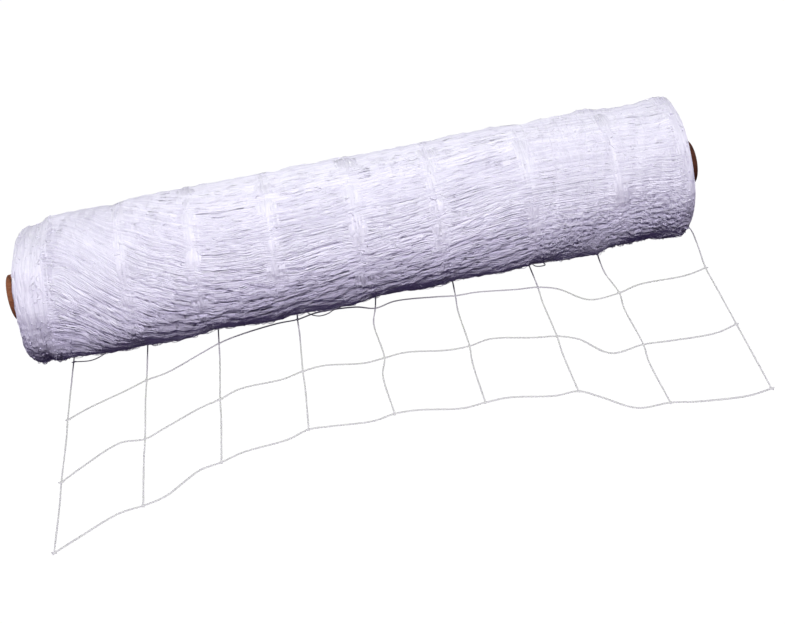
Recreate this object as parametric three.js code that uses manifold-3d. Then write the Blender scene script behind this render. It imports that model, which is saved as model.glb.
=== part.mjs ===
// A roll of white plastic trellis net wound on a cardboard core, with three rows of its mesh drawn out
// on the ground in front. Millimetres, +Z up. The origin is on the ground under the middle of the roll,
// +X runs along the roll and -Y points to the drawn-out end.
import * as THREE from 'three';
import { mergeVertices } from 'three/addons/utils/BufferGeometryUtils.js';
import Module from 'manifold-3d';

const wasm = await Module();
wasm.setup();

// Driving dimensions
const ROLL_RADIUS = 131;              // mean radius of the wound net, between ridges and creases
const AXIS_HEIGHT = 133;
const LEFT_END = -612;                // ends of the wound net along the roll
const RIGHT_END = 600;
const CORE_LENGTH = 1275;
const CORE_OFFSET = 1.5;              // the net is wound a little off the middle of its core
const CORE_BORE_RADIUS = 38.1;
const CORE_WALL = 3.4;
const CORE_RADIUS = CORE_BORE_RADIUS + CORE_WALL;
const CORE_SIDES = 48;
const SEAT_GAP = 0.3;                 // clearance between neighbouring pieces
const ROLL_SIDES = 72;                // a ridge on every other side
const MERGE_DISTANCE = 1e-4;

// One row for each lengthwise strand as it lies wound on the roll: its place along the roll, the rise of
// its band over the mean radius, and how far the combed ridges have turned there, in degrees.
const BANDS = [
  { at: -559, rise: 0.5, sweep: 0 },
  { at: -421, rise: 1.0, sweep: 26 },
  { at: -300, rise: 0.5, sweep: 50 },
  { at: -165, rise: 1.5, sweep: 55 },
  { at: -19, rise: 1.0, sweep: 50 },
  { at: 124, rise: 0.5, sweep: 46 },
  { at: 296, rise: 0.5, sweep: 40 },
  { at: 460, rise: -2.5, sweep: 46 },
  { at: 572, rise: -1.0, sweep: 50 },
];

// One row for each stretch between two bands: how far the net swells or sinks in the middle of it, and
// the height of its combed ridges.
const STRETCHES = [
  { swell: -2.0, ridge: 2.4 },
  { swell: 1.5, ridge: 2.6 },
  { swell: 1.0, ridge: 2.2 },
  { swell: 2.5, ridge: 1.8 },
  { swell: 1.0, ridge: 1.8 },
  { swell: 1.0, ridge: 2.0 },
  { swell: 1.5, ridge: 2.4 },
  { swell: -1.5, ridge: 1.6 },
];
const BAND_WIDTH = 30;
const BAND_CROWN = 1.4;               // a band stands this far over the ridges beside it
const RIDGE_COUNT = ROLL_SIDES / 2;
const RIDGE_AT_BAND = 0.35;           // share of the ridges' height that is left under a band
const UNEVEN = { share: 0.4, count: 5 };  // ridges rise and fall by this share, so often around the roll
// Broad lumps: how many lie around the roll, and how fast they wander along it
const LUMPS = [
  { height: 0.6, around: 3, wander: 90 },
  { height: 0.6, around: 5, wander: -140 },
];
const STATION_SHARES = [0, 0.1, 0.3, 0.5, 0.7, 0.9];
// The weight of the roll presses its underside smooth and a little outwards, half the angle each side.
const PRESSED = { full: 9, none: 20, rise: 3 };

// The left end is a narrow bead behind a groove. Its top has slumped.
const BEAD = { groove: -550, grooveDepth: 4, grooveWidth: 9, slump: 12 };
// The windings don't lie square to the core: their foot has shifted to the left, most at the left end.
// The shift is greatest this many degrees behind the top, and it has settled this far from the left end.
const LEAN = { left: 13, right: 7, behind: 28, reach: 150 };
const BEAD_STATIONS = [-558, -550, -541];
const END_ROUNDING = { left: 22, right: 5 };
const END_ROUND_SHARES = [0, 0.15, 0.5];
const END_FACE_SHARES = [0.35, 0.7];
const END_DOME = 5;                   // the end faces swell outwards between core and rim

// The drawn-out end. One row for each lengthwise strand: its knot on the front edge, the step from one
// knot to the next towards the roll, the sideways bow between knots, and where it goes under the roll.
const STRANDS = [
  { frontX: -575, frontY: -511, stepX: 4, stepY: 150.5, bow: 1, rootX: -562 },
  { frontX: -437, frontY: -452, stepX: 4.5, stepY: 152.5, bow: -1, rootX: -424 },
  { frontX: -308, frontY: -393, stepX: 7.5, stepY: 154, bow: 1, rootX: -291 },
  { frontX: -159, frontY: -360, stepX: 8, stepY: 149, bow: 1, rootX: -140 },
  { frontX: -14, frontY: -366, stepX: 8.5, stepY: 145, bow: -8, rootX: 13 },
  { frontX: 137, frontY: -385, stepX: 8.5, stepY: 148.5, bow: -3, rootX: 161 },
  { frontX: 291, frontY: -405, stepX: 7.5, stepY: 146, bow: -2, rootX: 310 },
  { frontX: 423, frontY: -475, stepX: 9, stepY: 149, bow: -3, rootX: 438 },
  { frontX: 587, frontY: -492, stepX: 13.5, stepY: 167.5, bow: 0, rootX: 634 },
];

// One row for each mesh across the net: how far the three cross strands, front to back, bow away from the
// straight line between their knots, at a quarter and at three quarters of the way.
const MESHES = [
  { near: [4, 9, 3], far: [10, 20, 0] },
  { near: [-6, 1, -7], far: [8, 4, -2] },
  { near: [4, 9, 6], far: [-5, -3, 6] },
  { near: [-2, 6, 12], far: [-8, -5, 12] },
  { near: [2, 7, 12], far: [-7, -3, 6] },
  { near: [5, 13, 4], far: [-4, 3, 0] },
  { near: [-7, -2, -1], far: [-20, -29, -24] },
  { near: [-6, -5, 7], far: [-9, -11, -5] },
];
const ROWS = 3;
const BOW_SHARE = 0.3;                // a lengthwise strand bows most this far from the knot nearer the roll
const STRAND = { foot: 2.8, top: 1.6, height: 1.6 };
const KNOT = { halfLength: 5, halfWidth: 3, height: 2 };
const QUARTER_BOWS = { near: 0.25, far: 0.75 };
const CROSS_STEPS = 48;
const LENGTH_STEPS = 18;
const TUCKED_STEPS = 5;
const ROOT_SEARCH = { from: -100, to: -15, step: 0.25, clearance: 0.6 };
// The selvedge at the right leaves the foot of the roll's end face in a loose curl.
const CURL = { reachX: 624, sideY: -44, turnX: 616, turnY: -6, footY: 4 };
// One more cross strand starts at the left selvedge and slips under the roll.
const TUCKED = { startY: -52, midX: -525, midY: -57, endX: -478 };

const radians = THREE.MathUtils.degToRad;
const { lerp, smoothstep } = THREE.MathUtils;

// The stretch that a place along the roll lies in, and how far across it the place is, from 0 to 1
function stretchAt(x) {
  const last = BANDS.length - 2;
  let index = 0;
  while (index < last && x > BANDS[index + 1].at) index += 1;
  const from = BANDS[index];
  const to = BANDS[index + 1];
  return { index, from, to, share: THREE.MathUtils.clamp((x - from.at) / (to.at - from.at), 0, 1) };
}

// Straight-sided ridges and creases around the roll, from -1 to 1
function ridgeWave(turn) {
  const phase = THREE.MathUtils.euclideanModulo((RIDGE_COUNT * turn) / (2 * Math.PI), 1);
  return 4 * Math.abs(phase - 0.5) - 1;
}

// How far the combed ridges have turned about the roll at a place along it. They run along the bands
// and cross over between them, in long S shapes.
function sweepAt(x) {
  const { from, to, share } = stretchAt(x);
  return radians(lerp(from.sweep, to.sweep, smoothstep(share, 0, 1)));
}

// Radius of the wound net. turn is 0 at the top and grows towards the front.
function netRadius(x, turn) {
  const { index, from, to, share } = stretchAt(x);
  const { swell, ridge } = STRETCHES[index];
  const middle = Math.sin(Math.PI * share);
  const combed = turn - sweepAt(x);
  const toBand = Math.min(Math.abs(x - from.at), Math.abs(x - to.at));
  const band = BAND_CROWN * (1 - smoothstep(toBand, 0, BAND_WIDTH / 2));
  const uneven = 1 + UNEVEN.share * Math.sin(UNEVEN.count * combed + index);
  const ridges = ridge * lerp(RIDGE_AT_BAND, 1, middle) * uneven * ridgeWave(combed);
  const lumps = LUMPS.reduce(
    (sum, { height, around, wander }) => sum + height * Math.sin(around * turn + x / wander),
    0,
  );
  const fromFoot = Math.abs(THREE.MathUtils.euclideanModulo(turn, 2 * Math.PI) - Math.PI);
  const pressed = 1 - smoothstep(fromFoot, radians(PRESSED.full), radians(PRESSED.none));
  const behindGroove = smoothstep(BEAD.groove - x, -BEAD.grooveWidth, BEAD.grooveWidth);
  const slump = ((BEAD.slump * (1 + Math.cos(turn))) / 2) * behindGroove;
  const groove = BEAD.grooveDepth * Math.exp(-(((x - BEAD.groove) / BEAD.grooveWidth) ** 2));
  const wound = ROLL_RADIUS + lerp(from.rise, to.rise, share) + swell * middle + band;
  return lerp(wound + ridges + lumps - slump - groove, ROLL_RADIUS + PRESSED.rise, pressed);
}

// How far a rounded end falls in from the full radius, for a distance from the end of the roll
function roundedEnd(distance, rounding) {
  const inside = THREE.MathUtils.clamp(1 - distance / rounding, 0, 1);
  return rounding * (1 - Math.sqrt(1 - inside * inside));
}

// Places along the roll where the wound net has a ring of points
function ringPlaces() {
  const leftRim = LEFT_END + END_ROUNDING.left;
  const rightRim = RIGHT_END - END_ROUNDING.right;
  const lastBead = BEAD_STATIONS[BEAD_STATIONS.length - 1];
  const combed = [];
  for (let index = 0; index < STRETCHES.length; index += 1) {
    const places = STATION_SHARES.map((share) => lerp(BANDS[index].at, BANDS[index + 1].at, share));
    combed.push(...places.filter((x) => x > lastBead));
  }
  combed.push(BANDS[STRETCHES.length].at);
  const left = END_ROUND_SHARES.map((share) => lerp(LEFT_END, leftRim, share));
  const right = END_ROUND_SHARES.map((share) => lerp(RIGHT_END, rightRim, share)).reverse();
  return [...left, leftRim, ...BEAD_STATIONS, ...combed, rightRim, ...right];
}

// Surface of the wound net at a ring: its radius with both rounded ends taken into account
function surfaceRadius(x, turn) {
  const left = roundedEnd(x - LEFT_END, END_ROUNDING.left);
  const right = roundedEnd(RIGHT_END - x, END_ROUNDING.right);
  return netRadius(x, turn) - left - right;
}

// How far the lean of the windings moves a point along the roll
function leanOf(x, turn) {
  const size = lerp(LEAN.left, LEAN.right, smoothstep(x - LEFT_END, 0, LEAN.reach));
  return size * Math.cos(turn + radians(LEAN.behind));
}

// A closed mesh with only its positions, each shared by the triangles around it
function closedMesh(geometry) {
  const bare = geometry.index ? geometry.toNonIndexed() : geometry.clone();
  bare.deleteAttribute('normal');
  bare.deleteAttribute('uv');
  return mergeVertices(bare, MERGE_DISTANCE);
}

function toSolid(geometry) {
  const merged = closedMesh(geometry);
  const mesh = new wasm.Mesh({
    numProp: 3,
    vertProperties: Float32Array.from(merged.attributes.position.array),
    triVerts: Uint32Array.from(merged.index.array),
  });
  return new wasm.Manifold(mesh);
}

function toGeometry(solid) {
  const mesh = solid.getMesh();
  const geometry = new THREE.BufferGeometry();
  geometry.setAttribute('position', new THREE.BufferAttribute(Float32Array.from(mesh.vertProperties), 3));
  geometry.setIndex(new THREE.BufferAttribute(Uint32Array.from(mesh.triVerts), 1));
  return geometry;
}

// The wound net: rings of points turned about the core, shaped by netRadius, and pressed flat underneath
function woundNet() {
  const bore = CORE_RADIUS + SEAT_GAP;
  const rings = ringPlaces().map((x) => ({ x, face: null }));
  const faceRings = (x, shares) => shares.map((face) => ({ x, face }));
  const inward = [...END_FACE_SHARES].reverse();
  const outline = [
    { x: LEFT_END, face: 0 },
    ...faceRings(LEFT_END, END_FACE_SHARES),
    ...rings,
    ...faceRings(RIGHT_END, inward),
    { x: RIGHT_END, face: 0 },
  ];
  const profile = outline.map(({ x, face }) => {
    const share = face === null ? 1 : face;
    return new THREE.Vector2(lerp(bore, surfaceRadius(x, 0), share), x);
  });
  const lathe = new THREE.LatheGeometry([...profile, profile[0]], ROLL_SIDES);
  const points = lathe.attributes.position;
  const around = profile.length + 1;
  for (let i = 0; i < points.count; i += 1) {
    const { x, face } = outline[(i % around) % outline.length];
    const share = face === null ? 1 : face;
    const turn = (2 * Math.PI * Math.floor(i / around)) / ROLL_SIDES + share * sweepAt(x);
    const radius = lerp(bore, surfaceRadius(x, turn), share);
    const dome = END_DOME * Math.sin(Math.PI * share) * Math.sign(x);
    const along = x + dome + share * leanOf(x, turn);
    points.setXYZ(i, along, -radius * Math.sin(turn), AXIS_HEIGHT + radius * Math.cos(turn));
  }
  const below = new THREE.BoxGeometry(2 * CORE_LENGTH, 4 * ROLL_RADIUS, ROLL_RADIUS);
  below.translate(0, 0, -ROLL_RADIUS / 2);
  return toGeometry(toSolid(lathe).subtract(toSolid(below)));
}

function coreTube() {
  const half = CORE_LENGTH / 2;
  const section = [
    new THREE.Vector2(CORE_BORE_RADIUS, -half),
    new THREE.Vector2(CORE_RADIUS, -half),
    new THREE.Vector2(CORE_RADIUS, half),
    new THREE.Vector2(CORE_BORE_RADIUS, half),
    new THREE.Vector2(CORE_BORE_RADIUS, -half),
  ];
  const tube = new THREE.LatheGeometry(section, CORE_SIDES);
  tube.rotateZ(-Math.PI / 2);
  return closedMesh(tube);
}

// Height of the roll's underside over a point on the ground
function undersideAt(x, y) {
  const turn = Math.PI - Math.asin(THREE.MathUtils.clamp(-y / netRadius(x, Math.PI), -1, 1));
  return AXIS_HEIGHT + surfaceRadius(x - leanOf(x, turn), turn) * Math.cos(turn);
}

// Where a lengthwise strand has come as close under the roll as its thickness lets it
function rootY(x) {
  const half = STRAND.foot / 2;
  const clear = (y) => Math.min(undersideAt(x - half, y), undersideAt(x + half, y)) - STRAND.height;
  let y = ROOT_SEARCH.from;
  while (y < ROOT_SEARCH.to && clear(y + ROOT_SEARCH.step) > ROOT_SEARCH.clearance) y += ROOT_SEARCH.step;
  return y;
}

// Where the curl at the right has come as close to the rounded foot of the end face
function curlFootX() {
  const clear = (x) => undersideAt(x, CURL.footY) - STRAND.height;
  let x = RIGHT_END;
  while (clear(x - ROOT_SEARCH.step) > ROOT_SEARCH.clearance) x -= ROOT_SEARCH.step;
  return x;
}

function knotAt(strand, row) {
  const { frontX, frontY, stepX, stepY } = STRANDS[strand];
  return new THREE.Vector3(frontX + row * stepX, frontY + row * stepY, 0);
}

// A flat-footed strand along a curve on the ground
function strandAlong(points, steps) {
  const half = STRAND.foot / 2;
  const topHalf = STRAND.top / 2;
  // Extruded along a level curve, the first axis of the section points down and the second sideways
  const section = new THREE.Shape([
    new THREE.Vector2(0, -half),
    new THREE.Vector2(0, half),
    new THREE.Vector2(-STRAND.height, topHalf),
    new THREE.Vector2(-STRAND.height, -topHalf),
  ]);
  const path = new THREE.CatmullRomCurve3(points);
  return toSolid(new THREE.ExtrudeGeometry(section, { steps, extrudePath: path, bevelEnabled: false }));
}

// The flattened lump where two strands are welded, long along the lengthwise strand
function knotSolid(place) {
  const { halfLength, halfWidth, height } = KNOT;
  const lozenge = new THREE.Shape([
    new THREE.Vector2(halfWidth, -halfLength / 2),
    new THREE.Vector2(halfWidth, halfLength / 2),
    new THREE.Vector2(0, halfLength),
    new THREE.Vector2(-halfWidth, halfLength / 2),
    new THREE.Vector2(-halfWidth, -halfLength / 2),
    new THREE.Vector2(0, -halfLength),
  ]);
  const lump = new THREE.ExtrudeGeometry(lozenge, { depth: height, bevelEnabled: false });
  return toSolid(lump.translate(place.x, place.y, 0));
}

// A lengthwise strand from the front edge to the roll
function lengthwisePoints(strand) {
  const { bow, rootX } = STRANDS[strand];
  const points = [knotAt(strand, 0)];
  for (let row = 1; row < ROWS; row += 1) {
    const bend = knotAt(strand, row).lerp(knotAt(strand, row - 1), BOW_SHARE);
    bend.x += bow;
    points.push(bend, knotAt(strand, row));
  }
  if (strand === STRANDS.length - 1) {
    points.push(
      new THREE.Vector3(CURL.reachX, CURL.sideY, 0),
      new THREE.Vector3(CURL.turnX, CURL.turnY, 0),
      new THREE.Vector3(curlFootX(), CURL.footY, 0),
    );
  } else {
    points.push(new THREE.Vector3(rootX, rootY(rootX), 0));
  }
  return points;
}

// A cross strand through its row's knots
function crosswisePoints(row) {
  const points = [knotAt(0, row)];
  MESHES.forEach(({ near, far }, mesh) => {
    const from = knotAt(mesh, row);
    const to = knotAt(mesh + 1, row);
    const across = new THREE.Vector3(from.y - to.y, to.x - from.x, 0).normalize();
    points.push(
      from.clone().lerp(to, QUARTER_BOWS.near).addScaledVector(across, near[row]),
      from.clone().lerp(to, QUARTER_BOWS.far).addScaledVector(across, far[row]),
      to,
    );
  });
  return points;
}

// The cross strand that starts at the left selvedge and slips under the roll
function tuckedPoints() {
  const start = STRANDS[0].rootX;
  return [
    new THREE.Vector3(start, TUCKED.startY, 0),
    new THREE.Vector3(TUCKED.midX, TUCKED.midY, 0),
    new THREE.Vector3(TUCKED.endX, rootY(TUCKED.endX), 0),
  ];
}

function looseEnd() {
  const solids = [];
  for (let strand = 0; strand < STRANDS.length; strand += 1) {
    solids.push(strandAlong(lengthwisePoints(strand), LENGTH_STEPS));
    for (let row = 0; row < ROWS; row += 1) solids.push(knotSolid(knotAt(strand, row)));
  }
  for (let row = 0; row < ROWS; row += 1) solids.push(strandAlong(crosswisePoints(row), CROSS_STEPS));
  const tucked = tuckedPoints();
  solids.push(strandAlong(tucked, TUCKED_STEPS), knotSolid(tucked[0]));
  return toGeometry(solids.reduce((whole, solid) => whole.add(solid)));
}

const netWhite = new THREE.MeshStandardMaterial({ color: 0xe4e1f2, roughness: 0.55, metalness: 0 });
const strandGrey = new THREE.MeshStandardMaterial({ color: 0xc9c8cf, roughness: 0.45, metalness: 0 });
const kraftBrown = new THREE.MeshStandardMaterial({ color: 0x9a6a4c, roughness: 0.85, metalness: 0 });

function piece(name, geometry, material) {
  const mesh = new THREE.Mesh(geometry, material);
  mesh.name = name;
  return mesh;
}

const roll = new THREE.Group();
const core = piece('core_tube', coreTube(), kraftBrown);
core.position.set(CORE_OFFSET, 0, AXIS_HEIGHT);
roll.add(piece('net_roll', woundNet(), netWhite), core, piece('loose_end', looseEnd(), strandGrey));

export default roll;
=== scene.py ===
"""Looks of a roll of trellis netting: the wound net with its combed strands, bands and knots, the end of the
net drawn out on the ground, and the cardboard core, on a plain floor in soft studio light.
Metres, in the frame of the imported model. A turn is an angle about the roll, 0 at the top and growing
towards the front, and a lift is a height over the skin of the wound net."""

import math

import bpy
import numpy as np
from mathutils import Matrix, Vector
from mathutils.bvhtree import BVHTree


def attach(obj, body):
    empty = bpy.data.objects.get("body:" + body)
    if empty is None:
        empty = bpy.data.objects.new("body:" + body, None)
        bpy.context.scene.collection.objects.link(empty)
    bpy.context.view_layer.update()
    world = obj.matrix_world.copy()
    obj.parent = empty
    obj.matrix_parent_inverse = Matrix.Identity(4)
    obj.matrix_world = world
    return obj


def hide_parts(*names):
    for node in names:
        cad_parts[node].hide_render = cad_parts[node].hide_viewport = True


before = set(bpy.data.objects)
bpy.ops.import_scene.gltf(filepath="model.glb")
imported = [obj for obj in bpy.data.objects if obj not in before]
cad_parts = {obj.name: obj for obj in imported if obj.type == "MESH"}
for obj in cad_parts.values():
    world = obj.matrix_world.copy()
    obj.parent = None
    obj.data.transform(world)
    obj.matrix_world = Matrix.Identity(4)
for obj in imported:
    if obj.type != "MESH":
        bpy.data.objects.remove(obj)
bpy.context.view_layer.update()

TAU = 2.0 * math.pi
MM = 0.001
TINY = 1e-9

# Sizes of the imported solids
AXIS_HEIGHT = 0.133
ROLL_RADIUS = 0.131
LEFT_END = -0.612
RIGHT_END = 0.600
LEFT_ROUNDING = 0.022
RIGHT_ROUNDING = 0.005
END_DOME = 0.005
NET_BORE = 0.0418
CORE_MIDDLE = 0.0015
CORE_LENGTH = 1.275
CORE_BORE = 0.0381
CORE_RADIUS = 0.0415

# How far the windings lean along the roll at its left end, in its middle and at its right end, how far behind
# the top they lean most, and where the lean changes
LEAN_LEFT = 0.013
LEAN_MIDDLE = 0.007
LEAN_RIGHT = 0.002
LEAN_BEHIND = math.radians(28.0)
LEAN_REACH = 0.150
LEAN_EASES_FROM = 0.330
LEAN_EASES_OVER = 0.200
# Both ends are pressed in at the front, around a turn
LEFT_DENT = {"depth": 0.003, "turn": math.radians(88.0), "around": math.radians(26.0)}
RIGHT_DENT = {"depth": 0.0025, "turn": math.radians(48.0), "around": math.radians(42.0)}
DENT_REACH = 0.060

# The photograph's camera: focal length in pixels of a picture 785 pixels wide, and its place
PICTURE_WIDTH = 785
FOCAL_PIXELS = 1134.77
SENSOR_WIDTH = 36.0
CAMERA_TARGET = (0.00925, -0.34387, 0.19605)
CAMERA_DISTANCE = 1.78925
CAMERA_AZIMUTH = math.radians(-5.25)
CAMERA_ELEVATION = math.radians(38.30)
CAMERA_ROLL = math.radians(8.39)

# Where the random numbers of each part of the work start
SEEDS = {"bands": 300, "margins": 310, "ends": 320, "knots": 400, "crumpled": 500, "loose_net": 600,
         "lumps": 720}

# One row for each lengthwise strand as it lies wound on the roll: its place along the roll, how far the
# combed strands have turned there in degrees, how many windings show, how widely they are strewn, and how
# many knots.
BANDS = [
    {"at": -0.556, "sweep": 0, "windings": 8, "spread": 10.0 * MM, "knots": 60},
    {"at": -0.419, "sweep": 43, "windings": 10, "spread": 12.0 * MM, "knots": 24},
    {"at": -0.297, "sweep": 70, "windings": 10, "spread": 12.0 * MM, "knots": 20},
    {"at": -0.159, "sweep": 76, "windings": 13, "spread": 16.0 * MM, "knots": 20},
    {"at": -0.009, "sweep": 73, "windings": 13, "spread": 16.0 * MM, "knots": 20},
    {"at": 0.136, "sweep": 69, "windings": 13, "spread": 16.0 * MM, "knots": 20},
    {"at": 0.303, "sweep": 63, "windings": 12, "spread": 14.0 * MM, "knots": 40},
    {"at": 0.463, "sweep": 66, "windings": 10, "spread": 12.0 * MM, "knots": 40},
    {"at": 0.586, "sweep": 70, "windings": 6, "spread": 4.0 * MM, "knots": 40},
]
BAND_PLACES = np.array([band["at"] for band in BANDS])
BAND_SWEEPS = np.radians([band["sweep"] for band in BANDS])
# How steeply the sweep grows along the roll at each band: not at all at both ends
SWEEP_SLOPES = np.gradient(BAND_SWEEPS, BAND_PLACES)
SWEEP_SLOPES[[0, -1]] = 0.0

# One row for each stretch between two bands: its strands around the roll and how wide they are, how far they
# wander together and how far each one strays on its own
STRETCHES = [
    {"strands": 480, "wide": 1.0, "wander": 2.0 * MM, "stray": 0.5 * MM},
    {"strands": 480, "wide": 1.0, "wander": 2.2 * MM, "stray": 0.5 * MM},
    {"strands": 480, "wide": 1.0, "wander": 1.6 * MM, "stray": 0.5 * MM},
    {"strands": 480, "wide": 1.0, "wander": 1.8 * MM, "stray": 0.5 * MM},
    {"strands": 480, "wide": 1.0, "wander": 1.8 * MM, "stray": 0.5 * MM},
    {"strands": 480, "wide": 1.0, "wander": 2.0 * MM, "stray": 0.6 * MM},
    {"strands": 430, "wide": 1.1, "wander": 1.2 * MM, "stray": 0.7 * MM},
    {"strands": 430, "wide": 1.3, "wander": 1.0 * MM, "stray": 0.7 * MM},
]
# So many stretches from the left are calm, and the first of these make up the left piece. The rest is rough.
CALM_STRETCHES = 6
LEFT_STRETCHES = 3

# The creases on most of the roll and at its rough right end: how many lie around the roll, how often they
# swing and break in a mesh along the roll, and how deep they are where the net lies tight and hangs slack.
CALM = {"creases": 80, "swings": 3.0, "breaks": 6.5, "tight": 2.7 * MM, "slack": 4.3 * MM, "seed": 700}
ROUGH = {"creases": 64, "swings": 9.0, "breaks": 6.0, "tight": 0.6 * MM, "slack": 4.7 * MM, "seed": 710}
ROUGH_FROM = 0.290
ROUGH_REACH = 0.050
MESH = 0.140
# Finer creases between them: how many times as many, and how many times as often they swing and break
FINE = {"creases": 2.3, "swings": 2.0, "breaks": 1.6}
# Breaks around the roll in both kinds, the random waves that make up each field, and how far their cycles
# spread
BREAKS_AROUND = 26.0
FINE_BREAKS_AROUND = 50.0
CREASE_WAVES = 40
BILLOW_WAVES = 30
BREAK_WAVES = 32
WAVE_SPREAD = 0.22
# How far creases stand open where the net lies tight, what slack adds to it, and how unevenly they do
OPEN = {"tight": 0.25, "slack": 0.25}
FINE_OPEN = {"tight": 0.35, "slack": 0.2}
OPEN_UNEVEN = 0.8
# The share of its depth that a closed crease keeps, how deep fine creases are on their own and over bumps,
# and how steep the bumps are
CLOSED = {"tight": 0.05, "slack": 0.15}
FINE_DEPTH = 0.45
BUMP_FINE_DEPTH = 0.35
BUMP_UNEVEN = 0.35
# Broad billows in the slack net, with their number around the roll, their swings and their depth
BILLOWS = {"creases": 36, "swings": 2.4, "depth": 3.6 * MM}
# Low lumps all over the wound net, with their number around the roll, their swings and their height
LUMPS = {"waves": 30, "around": 9, "swings": 2.2, "height": 0.9 * MM}
# The strands stand out a little where they hang slack, to make up for what falls in
SWELL = 2.6 * MM

# The two layers of combed strands
UNDER = {"share": 0.5, "steps": 9, "rough_steps": 15, "wide": 1.5, "lift": -0.6 * MM, "dive": 0.05 * MM,
         "wander": 0.0, "seed": 100}
OVER = {"share": 1.0, "steps": 22, "rough_steps": 33, "wide": 1.0, "lift": 0.1 * MM, "dive": 0.35 * MM,
        "wander": 1.0, "seed": 200}
STRAND_HALF_WIDTH = 1.2 * MM
STRAND_HALF_HEIGHT = 0.4 * MM
THIN_SIDES = 3
# How unevenly strands are spaced and how wide they may be, the waves in which they wander together, the
# cycles in which one strays and dives, how deep it is tucked in at a band, in millimetres, and over which
# shares of BAND_FADE
STRAND_JITTER = 0.4
STRAND_WIDTHS = (0.85, 1.15)
DRIFT = {"waves": 24, "around": 7.0, "swings": 1.2}
STRAY_CYCLES = (0.6, 3.6)
DIVE_CYCLES = (0.8, 3.4)
TUCKS = (0.1, 0.7)
FADES = (0.4, 1.3)

# Creases fade out this close to a band, by these shares where the net is tight and slack
BAND_FADE = 16.0 * MM
BAND_CALM = {"tight": 0.8, "slack": 0.3}
# The windings of the bands, stray ones over the rough end and those on both margins: how far they wander
# along the roll, their steps and section, and how far they rise and sink on their own and all together.
BAND_LOOK = {"wander": 3.0 * MM, "steps": 140, "half_width": 2.3 * MM, "half_height": 0.2 * MM,
             "alone": 0.06 * MM, "together": 0.3 * MM}
FINE_LOOK = {"wander": 4.0 * MM, "steps": 140, "half_width": 0.8 * MM, "half_height": 0.3 * MM,
             "alone": 0.15 * MM, "together": 0.0}
MARGIN_LOOK = {"wander": 4.5 * MM, "steps": 120, "half_width": 1.6 * MM, "half_height": 0.2 * MM,
               "alone": 0.1 * MM, "together": 0.0}
# Waves around the roll in which windings wander slowly and quickly, with their shares, and rise and sink
SLOW_WAVES = (1, 2, 3, 5)
SLOW_SHARE = 0.5
QUICK_WAVES = (9, 14)
QUICK_SHARE = 0.22
ALONE_WAVES = (5, 9, 16, 26)
TOGETHER_WAVES = (6, 10, 15, 21)
WINDING_WIDTHS = (0.85, 1.2)
WINDING_TONES = (0.2, 0.9)
# Windings stay between these places, and short strands and knots between those, in these tones
WIND_FROM = LEFT_END + 0.001
WIND_TO = RIGHT_END - 0.0005
SPECK_FROM = LEFT_END + 0.004
SPECK_TO = RIGHT_END - 0.002
SPECK_TONES = (0.3, 1.0)
# A band stands this high in its middle and at its edges, and its windings stray a little
BAND_CROWN = 0.15 * MM
BAND_EDGE = -0.3 * MM
BAND_STRAY = 0.5
# Stray windings over the rough end: from and to along the roll, and their number. Their lifts spread by as
# much as their mean.
FINE_WINDINGS = [(0.318, 0.452, 24), (0.475, 0.578, 14)]
FINE_STRAY = 2.0 * MM
FINE_LIFT = 0.1 * MM
# Windings on the bead at the left end and on the margin at the right end
MARGINS = [
    {"from": LEFT_END + 0.003, "to": -0.554, "windings": 36, "stray": 1.0 * MM},
    {"from": 0.585, "to": RIGHT_END - 0.0015, "windings": 10, "stray": 0.6 * MM},
]
MARGIN_LIFT = -0.2 * MM
MARGIN_UNEVEN = 0.05 * MM
# On both margins creases keep this share of their depth, and reach all of it so far in from the outermost
# bands
MARGIN_CREASES = 0.35
LEFT_MARGIN_REACH = 0.014
RIGHT_MARGIN_REACH = 0.012
# At the left the creases keep this share of their depth up to the second band, and then more and more
LEFT_CREASES = 0.95
LEFT_CREASES_REACH = 0.200
# Rings on the end faces, with their places in shares from the core to the rim
END_RINGS = {"rings": 32, "steps": 64, "from": 0.02, "to": 0.99, "least": 0.01, "wander": 0.006,
             "uneven": 0.5 * MM, "lift": 0.2 * MM, "half_width": 1.1 * MM, "half_height": 0.9 * MM}
END_WANDER_WAVES = (1, 2, 5, 9)
END_LIFT_WAVES = (3, 7, 13, 22)
END_WIDTHS = (0.8, 1.3)
END_TONES = (0.2, 1.0)
# Knots on the wound net: those at a band stray so far from it, and more lie in patches, each from and to
# along the roll with its number. Their lifts and sizes are in millimetres, and the shares of a size give
# the half length, width and height.
KNOT_STRAY = 9.0 * MM
KNOT_PATCHES = [(0.300, 0.460, 200), (0.460, 0.596, 260), (-0.604, -0.548, 160)]
KNOT_LIFTS = (0.1, 0.8)
KNOT_TURNING = 0.5
KNOT_SIZES = (0.6, 1.2)
KNOT_SHARES = (2.4, 1.2, 0.8)
KNOT_SLACK_GROWTH = 0.7
# Short loose strands: many at the right and a few elsewhere, how far their headings turn, and their rise
CRUMPLED = [
    {"from": 0.300, "to": 0.455, "count": 240, "turning": 0.7, "length": 16.0 * MM, "top": 0.4 * MM},
    {"from": 0.455, "to": 0.592, "count": 220, "turning": 0.9, "length": 14.0 * MM, "top": 0.4 * MM},
    {"from": -0.600, "to": 0.300, "count": 120, "turning": 0.16, "length": 26.0 * MM, "top": 0.3 * MM},
]
CRUMPLED_REST = 0.05 * MM
CRUMPLED_STEPS = 8
CRUMPLED_HALF_WIDTH = 0.75 * MM
CRUMPLED_HALF_HEIGHT = 0.5 * MM
CRUMPLED_CYCLES = (0.4, 1.3)
CRUMPLED_SWING = 0.5
CRUMPLED_SWAY = 0.2
CRUMPLED_LENGTHS = (0.5, 1.4)
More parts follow.
